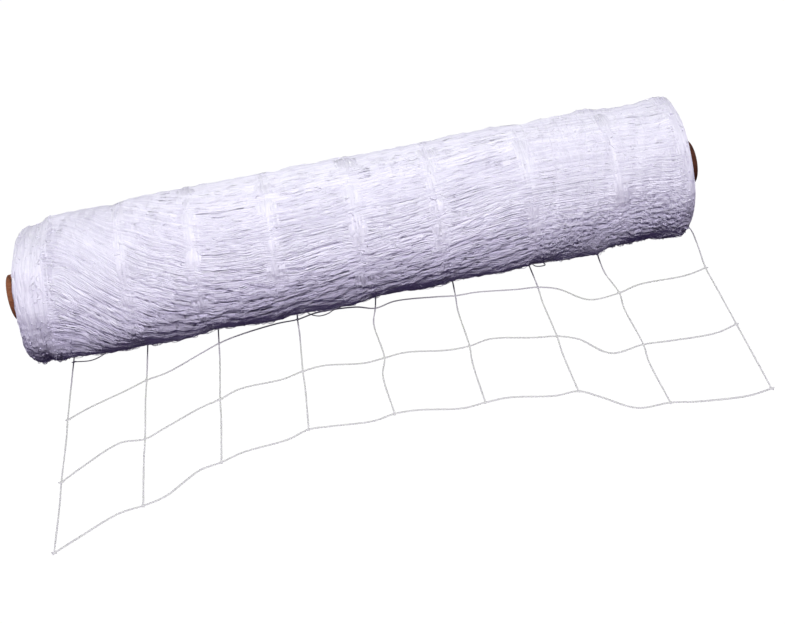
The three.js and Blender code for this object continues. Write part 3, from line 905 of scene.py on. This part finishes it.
def margins(pile):
    """Windings on the bead at the left end and on the margin at the right end."""
    rng = np.random.default_rng(SEEDS["margins"])
    strewn = []
    for row in MARGINS:
        places = np.linspace(row["from"], row["to"], row["windings"])
        strewn.append(places + rng.normal(0.0, row["stray"], row["windings"]))
    for places in strewn:
        wind(pile, rng, places, rng.normal(MARGIN_LIFT, MARGIN_UNEVEN, len(places)), MARGIN_LOOK)


def end_faces(pile):
    """Rings of selvedge on both end faces of the wound net."""
    rng = np.random.default_rng(SEEDS["ends"])
    rows = END_RINGS["rings"]
    angle = TAU * np.arange(END_RINGS["steps"]) / END_RINGS["steps"]
    for side in (-1.0, 1.0):
        shares = np.linspace(END_RINGS["from"], END_RINGS["to"], rows)[:, None]
        shares = shares + wave_rows(rng, rows, angle, END_WANDER_WAVES, END_RINGS["wander"])
        lift = wave_rows(rng, rows, angle, END_LIFT_WAVES, END_RINGS["uneven"]) + END_RINGS["lift"]
        points, outward = on_end(side, np.clip(shares, END_RINGS["least"], 1.0), angle[None, :], lift)
        widths = END_RINGS["half_width"] * rng.uniform(*END_WIDTHS, (rows, 1))
        tones = rng.uniform(*END_TONES, rows)
        add_tubes(pile, points, outward, widths, END_RINGS["half_height"], THIN_SIDES, tones, closed=True)


def scattered_knots(pile):
    """Welds of the mesh that show on the wound net: some along the bands, and more at both ends."""
    rng = np.random.default_rng(SEEDS["knots"])
    along = []
    turn = []
    for band in BANDS:
        along.append(band["at"] + rng.normal(0.0, KNOT_STRAY, band["knots"]))
        turn.append(rng.uniform(0.0, TAU, band["knots"]))
    for low, high, count in KNOT_PATCHES:
        along.append(rng.uniform(low, high, count))
        turn.append(rng.uniform(0.0, TAU, count))
    along = np.clip(np.concatenate(along), SPECK_FROM, SPECK_TO)
    turn = np.concatenate(turn)
    count = len(along)
    points, outward = on_skin(along, turn, rng.uniform(*KNOT_LIFTS, count) * MM)
    heading = rng.normal(0.0, KNOT_TURNING, count)
    lengthwise = np.zeros_like(outward)
    lengthwise[:, 0] = 1.0
    sideways = np.cross(outward, lengthwise)
    first = np.cos(heading)[:, None] * lengthwise + np.sin(heading)[:, None] * sideways
    second = np.cross(outward, first)
    size = rng.uniform(*KNOT_SIZES, (count, 1)) * MM
    size = size * (1.0 + KNOT_SLACK_GROWTH * slack_at(turn) * (along > ROUGH_FROM))[:, None]
    tones = rng.uniform(*SPECK_TONES, count)
    long, wide, high = KNOT_SHARES
    add_knots(pile, points, long * size * first, wide * size * second, high * size * outward, tones)


def crumple(pile, rng, along, turn, heading, length, lifts):
    """Short loose strands that wander over the wound net from places on it. lifts are at rest and on top."""
    count = len(along)
    share = np.linspace(0.0, 1.0, CRUMPLED_STEPS)
    swing = CRUMPLED_SWING * np.abs(heading) + CRUMPLED_SWAY
    heading = heading + swing * swings_along(rng, count, CRUMPLED_CYCLES, share)
    step = length * rng.uniform(*CRUMPLED_LENGTHS, (count, 1)) / (len(share) - 1)
    places = along + np.cumsum(step * np.cos(heading), axis=1)
    places = np.clip(places, SPECK_FROM, SPECK_TO)
    turns = turn + np.cumsum(step * np.sin(heading), axis=1) / ROLL_RADIUS
    rest, top = lifts
    lift = rest + top * rng.uniform(0.0, 1.0, (count, 1)) * np.sin(math.pi * share)
    points, outward = on_skin(places, turns, lift)
    tones = rng.uniform(*SPECK_TONES, count)
    add_tubes(pile, points, outward, CRUMPLED_HALF_WIDTH, CRUMPLED_HALF_HEIGHT, THIN_SIDES, tones)


def crumpled(pile):
    """Loose strands: many at the right, a few elsewhere, dashes beside the bead, ragged bits below, tufts and
    fans."""
    rng = np.random.default_rng(SEEDS["crumpled"])
    for group in CRUMPLED:
        count = group["count"]
        along = rng.uniform(group["from"], group["to"], (count, 1))
        turn = rng.uniform(0.0, TAU, (count, 1))
        heading = rng.normal(0.0, group["turning"], (count, 1))
        crumple(pile, rng, along, turn, heading, group["length"], (CRUMPLED_REST, group["top"]))
    size = (DASHES["count"], 1)
    along = rng.normal(DASHES["at"], DASHES["spread"], size)
    heading = math.pi / 2.0 + rng.normal(0.0, DASHES["turning"], size)
    crumple(pile, rng, along, rng.uniform(0.0, TAU, size), heading, DASHES["length"], DASH_LIFTS)
    size = (RAGGED["count"], 1)
    along = rng.uniform(LEFT_END + RAGGED["inset"], RIGHT_END - RAGGED["inset"], size)
    turn = LOWER_EDGE + rng.normal(0.0, RAGGED["around"], size)
    heading = rng.normal(0.0, RAGGED["turning"], size)
    crumple(pile, rng, along, turn, heading, RAGGED["length"], RAGGED_LIFTS)
    tufts(pile, rng)
    fans_of_strands(pile, rng)


def tufts(pile, rng):
    """Small loops that stand out of the wound net: some at each band but the first, some of them on the upper
    edge, more along the lower right edge, and a thick tuft at the left foot."""
    groups = []
    for band in BANDS[1:]:
        turn = rng.uniform(0.0, TAU, (BAND_TUFTS["count"], 1))
        upper = BAND_TUFTS["upper"]
        turn[:upper] = UPPER_EDGE + rng.normal(0.0, BAND_TUFTS["around"], (upper, 1))
        groups.append((band["at"], BAND_TUFTS["spread"], turn, BAND_TUFTS["top"]))
    for at, spread, count in LOW_TUFTS:
        turn = LOWER_EDGE + rng.normal(0.0, LOW_TUFT_AROUND, (count, 1))
        groups.append((at, spread, turn, LOW_TUFT_TOP))
    for at, spread, turn, top in groups:
        along = at + rng.normal(0.0, spread, turn.shape)
        heading = rng.uniform(-math.pi, math.pi, turn.shape)
        crumple(pile, rng, along, turn, heading, TUFT_LENGTH, (TUFT_REST, top))


def fans_of_strands(pile, rng):
    """Strands pulled askew at the lower right: from one place on the roll they spread up to the right."""
    share = np.linspace(0.0, 1.0, FAN_STEPS)
    for fan in FANS:
        count = fan["count"]
        first = np.radians(rng.uniform(*fan["first_turn"], (count, 1)))
        last = np.radians(rng.uniform(*fan["last_turn"], (count, 1)))
        along = mixed(fan["from"], rng.uniform(*fan["to"], (count, 1)), share)
        phase = rng.uniform(0.0, FAN_PHASE, (count, 1))
        bend = FAN_BEND * np.sin(TAU * (share + phase)) * np.sin(math.pi * share)
        turn = mixed(first, last, smooth_step(share)) + bend
        points, outward = on_skin(along, turn, FAN_LIFT)
        tones = rng.uniform(*FAN_TONES, count)
        add_tubes(pile, points, outward, FAN_HALF_WIDTH, FAN_HALF_HEIGHT, THIN_SIDES, tones)


def base_net(pile):
    """The bulk of the wound net under its outer strands, closed around the core, in a darker tone as painted
    shade between the strands.
    """
    angle = TAU * np.arange(FORM_STEPS) / FORM_STEPS
    rounded = np.array(BULK_ROUNDING)
    shares = np.arange(BULK_FACE_RINGS) / BULK_FACE_RINGS
    places = np.concatenate(
        [
            LEFT_END + LEFT_ROUNDING * rounded,
            np.linspace(LEFT_END + LEFT_ROUNDING, RIGHT_END - RIGHT_ROUNDING, BULK_RINGS),
            RIGHT_END - RIGHT_ROUNDING * rounded[::-1],
        ]
    )
    creased = smooth_step((places - BAND_PLACES[0]) / BULK_MARGIN)
    creased = creased * smooth_step((BAND_PLACES[-1] - places) / BULK_MARGIN)
    deepest = mixed(BULK_DEPTH["tight"], BULK_DEPTH["slack"], slack_at(angle))
    depths = mixed(BULK_DEPTH["margin"], deepest[None, :], creased[:, None])
    rings = [on_end(-1.0, share, angle, BULK_DEPTH["face"])[0] for share in shares]
    rings += [on_skin(place, angle, depth)[0] for place, depth in zip(places, depths)]
    rings += [on_end(1.0, share, angle, BULK_DEPTH["face"])[0] for share in shares[::-1]]
    add_rings(pile, np.stack(rings), BULK_SHADE_TONE)


def core_tube(pile):
    """The cardboard core, with slightly worn rims."""
    angle = TAU * np.arange(FORM_STEPS) / FORM_STEPS
    half = CORE_LENGTH / 2.0
    inset = half - CORE_INSET
    worn = half - CORE_WEAR
    middle = (CORE_BORE + CORE_RADIUS) / 2.0
    rim = [(half, CORE_RADIUS - CORE_WEAR), (half, middle), (half, CORE_BORE + CORE_WEAR)]
    profile = [(-worn, CORE_RADIUS)]
    profile += [(place, CORE_RADIUS) for place in np.linspace(-inset, inset, CORE_RINGS)]
    profile += [(worn, CORE_RADIUS)] + rim + [(worn, CORE_BORE)]
    profile += [(place, CORE_BORE) for place in np.linspace(inset, -inset, CORE_RINGS)]
    profile += [(-worn, CORE_BORE)] + [(-place, radius) for place, radius in rim[::-1]]
    rings = []
    for place, radius in profile:
        ring = radius * outward_at(angle)
        ring[:, 0] = CORE_MIDDLE + place
        ring[:, 2] += AXIS_HEIGHT
        rings.append(ring)
    add_rings(pile, np.stack(rings), CORE_TONE)


def curve_through(points, steps):
    """A smooth curve through points, with the given number of steps from each point to the next."""
    points = np.array(points, dtype=float)
    padded = np.concatenate([[2 * points[0] - points[1]], points, [2 * points[-1] - points[-2]]])
    gaps = np.sqrt(np.linalg.norm(np.diff(padded, axis=0), axis=1))
    share = np.linspace(0.0, 1.0, steps, endpoint=False)[:, None]
    parts = []
    for index in range(len(points) - 1):
        before, start, end, after = padded[index:index + 4]
        gap_before, gap, gap_after = gaps[index:index + 3]
        leave = (start - before) / gap_before - (end - before) / (gap_before + gap) + (end - start) / gap
        arrive = (end - start) / gap - (after - start) / (gap + gap_after) + (after - end) / gap_after
        leave = leave * gap
        arrive = arrive * gap
        cubic = 2.0 * start - 2.0 * end + leave + arrive
        square = -3.0 * start + 3.0 * end - 2.0 * leave - arrive
        parts.append(start + leave * share + square * share**2 + cubic * share**3)
    return np.concatenate(parts + [points[-1:]])


def knot_at(strand, row):
    data = STRANDS[strand]
    return np.array([data["x"] + row * data["step_x"], data["y"] + row * data["step_y"]]) * MM


def lengthwise_route(strand):
    """A lengthwise strand of the drawn-out end, from the front edge to the roll."""
    data = STRANDS[strand]
    points = [knot_at(strand, 0)]
    for row in range(1, ROWS):
        bend = mixed(knot_at(strand, row), knot_at(strand, row - 1), BOW_AT)
        points += [bend + np.array([data["bow"] * MM, 0.0]), knot_at(strand, row)]
    last = ENDINGS.get(strand, [(data["root"], ROOT_Y)])
    return points + [np.array(place) * MM for place in last]


def crosswise_route(row):
    """A cross strand of the drawn-out end, through the knots of its row."""
    points = [knot_at(0, row)]
    for mesh, data in enumerate(MESHES):
        start = knot_at(mesh, row)
        end = knot_at(mesh + 1, row)
        ahead = (end - start) / np.linalg.norm(end - start)
        across = np.array([-ahead[1], ahead[0]]) * MM
        points.append(mixed(start, end, NEAR_AT) + data["near"][row] * across)
        points.append(mixed(start, end, data["far_at"]) + data["far"][row] * across)
        points.append(end)
    return points


def lay_strand(pile, rng, route, steps, half_width, tone):
    """One strand of the net along a route on the ground, a little uneven in width."""
    curve = curve_through(route, steps)
    points = np.zeros((1, len(curve), 3))
    points[0, :, :2] = curve
    points[..., 2] = LOOSE_HALF_HEIGHT
    outward = np.zeros_like(points)
    outward[..., 2] = 1.0
    share = np.linspace(0.0, 1.0, len(curve))
    uneven = 1.0 + LOOSE_UNEVEN * swings_along(rng, 1, LOOSE_CYCLES, share)
    add_tubes(pile, points, outward, half_width * uneven, LOOSE_HALF_HEIGHT, LOOSE_SIDES, tone)


def loose_net(pile):
    """The three rows of mesh drawn out on the ground, with their knots and the ears beside each knot."""
    rng = np.random.default_rng(SEEDS["loose_net"])
    for strand in range(len(STRANDS)):
        tone = rng.uniform(*LENGTH_TONES)
        lay_strand(pile, rng, lengthwise_route(strand), LOOSE_STEPS, LOOSE_HALF_WIDTH, tone)
    for row in range(ROWS):
        # Painted shade: a darker tone for each cross strand.
        tone = rng.uniform(*CROSS_SHADE_TONES)
        lay_strand(pile, rng, crosswise_route(row), LOOSE_STEPS, CROSS_HALF_WIDTH, tone)
    for route in LOOPS:
        lay_strand(pile, rng, np.array(route) * MM, LOOP_STEPS, LOOP_HALF_WIDTH, LOOP_TONE)
    knots = [knot_at(strand, row) for strand in range(len(STRANDS)) for row in range(ROWS)]
    knots.append(np.array(LOOPS[0][0]) * MM)
    count = len(knots)
    middles = np.zeros((count, 3))
    middles[:, :2] = knots
    middles[:, 2] = LOOSE_KNOT_HEIGHT
    heading = rng.normal(0.0, LOOSE_KNOT_TURNING, count)
    first = np.stack([np.sin(heading), np.cos(heading), np.zeros(count)], axis=-1)
    second = np.stack([-np.cos(heading), np.sin(heading), np.zeros(count)], axis=-1)
    third = np.zeros((count, 3))
    third[:, 2] = LOOSE_KNOT_HEIGHT
    size = rng.uniform(*LOOSE_KNOT_SIZES, (count, 1)) * MM
    length = LOOSE_KNOT[0] * size * first
    add_knots(pile, middles, length, LOOSE_KNOT[1] * size * second, third, LOOSE_KNOT_TONE)
    for side in (-1.0, 1.0):
        ears = middles + side * EAR_OUT * second
        length = LOOSE_EAR[0] * size * first
        add_knots(pile, ears, length, LOOSE_EAR[1] * size * second, EAR_HEIGHT * third, EAR_TONE)


def new_material(name):
    material = bpy.data.materials.new(name)
    material.use_nodes = True
    tree = material.node_tree
    return material, tree, tree.nodes["Principled BSDF"]


def feed(tree, socket, value):
    """Links a socket to an input, or sets a plain value on it."""
    if isinstance(value, bpy.types.NodeSocket):
        tree.links.new(value, socket)
    else:
        socket.default_value = value


def set_values(tree, node, **values):
    """Sets the properties and the inputs of a node by their names."""
    for key, value in values.items():
        if hasattr(node, key):
            setattr(node, key, value)
        else:
            feed(tree, node.inputs[key.replace("_", " ")], value)


def add_node(tree, kind, **values):
    node = tree.nodes.new(kind)
    set_values(tree, node, **values)
    return node


def maths(tree, operation, *values):
    """The result of an operation on sockets and plain numbers."""
    node = add_node(tree, "ShaderNodeMath", operation=operation)
    for socket, value in zip(node.inputs, values):
        feed(tree, socket, value)
    return node.outputs[0]


def ramp(tree, share, stops):
    """The colour at a share on a ramp with stops of place and colour."""
    node = add_node(tree, "ShaderNodeValToRGB", Fac=share)
    elements = node.color_ramp.elements
    while len(elements) < len(stops):
        elements.new(0.5)
    for element, (place, colour) in zip(elements, stops):
        element.position = place
        element.color = (*colour, 1.0)
    return node.outputs["Color"]


def multiplied(tree, factor, first, second):
    """One colour multiplied by another, as far as a factor says."""
    node = add_node(tree, "ShaderNodeMix", data_type="RGBA", blend_type="MULTIPLY")
    set_values(tree, node, Factor=factor, A=first, B=second)
    return node.outputs["Result"]


def net_material(name, dark, light, roughness):
    """Milky drawn plastic: its tone shifts a little from strand to strand and in broad patches."""
    material, tree, shader = new_material(name)
    tone = add_node(tree, "ShaderNodeAttribute", attribute_name="tone").outputs["Fac"]
    place = add_node(tree, "ShaderNodeTexCoord").outputs["Object"]
    patches = add_node(tree, "ShaderNodeTexNoise", Vector=place, Scale=28.0, Detail=4.0, Roughness=0.6)
    patches = patches.outputs["Fac"]
    both = maths(tree, "MULTIPLY", maths(tree, "ADD", tone, patches), 0.6)
    gloss = add_node(tree, "ShaderNodeMapRange", Value=patches, From_Min=0.3, From_Max=0.7)
    set_values(tree, gloss, To_Min=roughness - 0.08, To_Max=roughness + 0.10)
    grain = add_node(tree, "ShaderNodeTexNoise", Vector=place, Scale=1400.0, Detail=2.0)
    bump = add_node(tree, "ShaderNodeBump", Height=grain.outputs["Fac"], Strength=0.25, Distance=0.0003)
    set_values(
        tree,
        shader,
        Base_Color=ramp(tree, both, [(0.25, dark), (0.95, light)]),
        Roughness=gloss.outputs["Result"],
        Normal=bump.outputs["Normal"],
        Specular_IOR_Level=0.35,
    )
    return material


def kraft_material():
    """Brown board wound in a spiral, with a dark seam, paper fibres and painted shade towards the right."""
    material, tree, shader = new_material("kraft_board")
    place = add_node(tree, "ShaderNodeTexCoord").outputs["Object"]
    parts = add_node(tree, "ShaderNodeSeparateXYZ", Vector=place).outputs
    angle = maths(tree, "ARCTAN2", parts["Y"], maths(tree, "SUBTRACT", parts["Z"], AXIS_HEIGHT))
    turns = maths(tree, "DIVIDE", angle, TAU)
    pitches = maths(tree, "DIVIDE", parts["X"], SEAM_PITCH)
    ply = maths(tree, "FRACT", maths(tree, "ADD", turns, pitches))
    greys = ((0.0, 0.25), (0.012, 0.35), (0.03, 1.0), (0.97, 0.9), (1.0, 0.6))
    seam = ramp(tree, ply, [(at, (grey, grey, grey)) for at, grey in greys])
    stretched = add_node(tree, "ShaderNodeMapping", Vector=place, Scale=(90.0, 420.0, 420.0))
    fibres = add_node(tree, "ShaderNodeTexNoise", Vector=stretched.outputs["Vector"], Scale=1.0, Detail=5.0)
    set_values(tree, fibres, Roughness=0.65)
    fibres = fibres.outputs["Fac"]
    browns = [(0.30, (0.25, 0.080, 0.030)), (0.55, (0.38, 0.145, 0.066)), (0.75, (0.48, 0.215, 0.105))]
    colour = multiplied(tree, 0.8, ramp(tree, fibres, browns), seam)
    # Painted shade: the board grows darker towards its right end.
    half = CORE_LENGTH / 2.0
    length = add_node(tree, "ShaderNodeMapRange", Value=parts["X"], From_Min=-half, From_Max=half)
    painted_right_shade = ramp(tree, length.outputs["Result"], [(0.3, (1.0, 1.0, 1.0)), (0.95, (0.34, 0.28, 0.32))])
    rough = add_node(tree, "ShaderNodeMapRange", Value=fibres, To_Min=0.72, To_Max=0.92)
    relief = maths(tree, "MULTIPLY", fibres, seam)
    bump = add_node(tree, "ShaderNodeBump", Height=relief, Strength=0.5, Distance=0.0006)
    set_values(
        tree,
        shader,
        Base_Color=multiplied(tree, 1.0, colour, painted_right_shade),
        Roughness=rough.outputs["Result"],
        Normal=bump.outputs["Normal"],
        Specular_IOR_Level=0.25,
    )
    return material


NET_WHITE = net_material("net_white", (0.74, 0.725, 0.83), (0.93, 0.915, 1.0), 0.36)
NET_STRAND = net_material("net_strand", (0.64, 0.64, 0.625), (0.76, 0.76, 0.74), 0.42)
KRAFT_BOARD = kraft_material()


def combed(indices, layer):
    """A function that fills a piece with one layer of the combed strands of some stretches."""

    def fill(pile):
        for index in indices:
            comb(pile, index, layer)

    return fill


def build_piece(name, fill, columns, smooth=True, material=NET_WHITE, node="net_roll"):
    """One piece, filled by a function, with its patches in so many columns on its map."""
    pile = Pile(columns, smooth)
    fill(pile)
    pile.build(name, material, node)


def build_roll():
    calm = range(CALM_STRETCHES)
    rough = range(CALM_STRETCHES, len(STRETCHES))
    build_piece("net_bulk", base_net, 1)
    build_piece("under_strands_left", combed(calm, UNDER), 4, smooth=False)
    build_piece("under_strands_right", combed(rough, UNDER), 4, smooth=False)
    build_piece("strands_left", combed(calm[:LEFT_STRETCHES], OVER), 4, smooth=False)
    build_piece("strands_middle", combed(calm[LEFT_STRETCHES:], OVER), 4, smooth=False)
    build_piece("strands_right", combed(rough, OVER), 4, smooth=False)
    build_piece("bands", wound_bands, 2, smooth=False)
    build_piece("margin_windings", margins, 2, smooth=False)
    build_piece("end_windings", end_faces, 2)
    build_piece("crumpled_strands", crumpled, 5)
    build_piece("wound_knots", scattered_knots, 24)
    build_piece("loose_net", loose_net, 1, material=NET_STRAND, node="loose_end")
    build_piece("core", core_tube, 1, material=KRAFT_BOARD, node="core_tube")


def add_camera():
    level_share = math.cos(CAMERA_ELEVATION)
    back = Vector((
        math.sin(CAMERA_AZIMUTH) * level_share,
        -math.cos(CAMERA_AZIMUTH) * level_share,
        math.sin(CAMERA_ELEVATION),
    ))
    level = (-back).cross(Vector((0.0, 0.0, 1.0))).normalized()
    down = (-back).cross(level)
    right = math.cos(CAMERA_ROLL) * level + math.sin(CAMERA_ROLL) * down
    upward = math.sin(CAMERA_ROLL) * level - math.cos(CAMERA_ROLL) * down
    data = bpy.data.cameras.new("photo_camera")
    data.sensor_width = SENSOR_WIDTH
    data.lens = FOCAL_PIXELS / PICTURE_WIDTH * SENSOR_WIDTH
    data.clip_end = 100.0
    camera = bpy.data.objects.new("photo_camera", data)
    turned = Matrix((right, upward, back)).transposed().to_4x4()
    camera.matrix_world = Matrix.Translation(Vector(CAMERA_TARGET) + back * CAMERA_DISTANCE) @ turned
    bpy.context.scene.collection.objects.link(camera)
    bpy.context.scene.camera = camera


def add_stage(name, points, faces, grey, rough, hidden_from):
    """A part of the studio that shines evenly white, and is hidden from some kinds of ray."""
    mesh = bpy.data.meshes.new(name)
    mesh.from_pydata(points, [], faces)
    material, tree, shader = new_material(name)
    set_values(
        tree,
        shader,
        Base_Color=(grey, grey, grey, 1.0),
        Roughness=rough,
        Specular_IOR_Level=0.0,
        Emission_Color=(1.0, 1.0, 1.0, 1.0),
        Emission_Strength=1.0,
    )
    mesh.materials.append(material)
    stage = bpy.data.objects.new(name, mesh)
    for ray in hidden_from:
        setattr(stage, "visible_" + ray, False)
    bpy.context.scene.collection.objects.link(stage)
    return stage


def add_floor():
    reach = FLOOR_REACH
    corners = [(-reach, -reach, 0.0), (reach, -reach, 0.0), (reach, reach, 0.0), (-reach, reach, 0.0)]
    floor = add_stage("studio_floor", corners, [(0, 1, 2, 3)], 0.03, 0.9, ("diffuse", "glossy"))
    floor.location.z = FLOOR_HEIGHT


def add_backdrop():
    """A plain white wall all around, far away, that only the camera sees."""
    reach = BACKDROP_REACH
    around = 48
    rings = 12
    points = []
    for ring in range(rings + 1):
        height = math.pi / 2.0 * ring / rings
        level = reach * math.cos(height)
        top = reach * math.sin(height) - BACKDROP_SUNK
        for place in range(around):
            turn = TAU * place / around
            points.append((level * math.cos(turn), level * math.sin(turn), top))
    faces = grid_faces(rings + 1, around, False)[0][:, TURNED_OVER].tolist()
    hidden_from = ("diffuse", "glossy", "transmission", "volume_scatter", "shadow")
    add_stage("studio_backdrop", points, faces, 0.0, 0.5, hidden_from)


def add_lamp(name, place, width, power, colour):
    """A large soft lamp aimed at the roll."""
    data = bpy.data.lights.new(name, "AREA")
    data.shape = "RECTANGLE"
    data.size = width
    data.size_y = LAMP_DEPTH
    data.energy = power
    data.color = colour
    lamp = bpy.data.objects.new(name, data)
    lamp.location = place
    aim = Vector((0.0, 0.0, AXIS_HEIGHT)) - lamp.location
    lamp.rotation_euler = aim.to_track_quat("-Z", "Y").to_euler()
    lamp.visible_camera = False
    bpy.context.scene.collection.objects.link(lamp)


def add_light():
    """Soft lamps above and in front of the roll, fainter ones around it, and a weak sky, dark below."""
    world = bpy.data.worlds.new("studio")
    world.use_nodes = True
    tree = world.node_tree
    place = add_node(tree, "ShaderNodeTexCoord").outputs["Generated"]
    upward = add_node(tree, "ShaderNodeSeparateXYZ", Vector=place).outputs["Z"]
    height = add_node(tree, "ShaderNodeMapRange", Value=upward, From_Min=-1.0, From_Max=1.0).outputs["Result"]
    violets = [(0.0, (0.01, 0.004, 0.03)), (0.52, (0.03, 0.012, 0.10)), (0.75, (0.36, 0.14, 1.0))]
    set_values(tree, tree.nodes["Background"], Color=ramp(tree, height, violets), Strength=0.17)
    bpy.context.scene.world = world
    fill = (1.0, 0.93, 1.12)
    add_lamp("front_lamp", (-0.05, -1.49, 2.26), 3.0, 63.6, (1.0, 0.955, 1.05))
    add_lamp("top_lamp", (-0.05, -0.23, 2.72), 3.0, 14.0, (1.0, 1.36, 0.40))
    add_lamp("low_lamp", (-0.4, -1.95, 0.75), 1.4, 1.1, (1.0, 0.88, 1.1))
    add_lamp("back_lamp", (-0.2, 2.6, 0.45), 3.0, 8.0, fill)
    add_lamp("left_lamp", (-2.6, -0.5, 0.7), 1.0, 2.5, fill)
    add_lamp("right_lamp", (2.6, 0.8, 0.7), 1.0, 6.0, fill)
    bpy.context.scene.view_settings.view_transform = "Standard"


build_roll()
add_camera()
add_floor()
add_backdrop()
add_light()
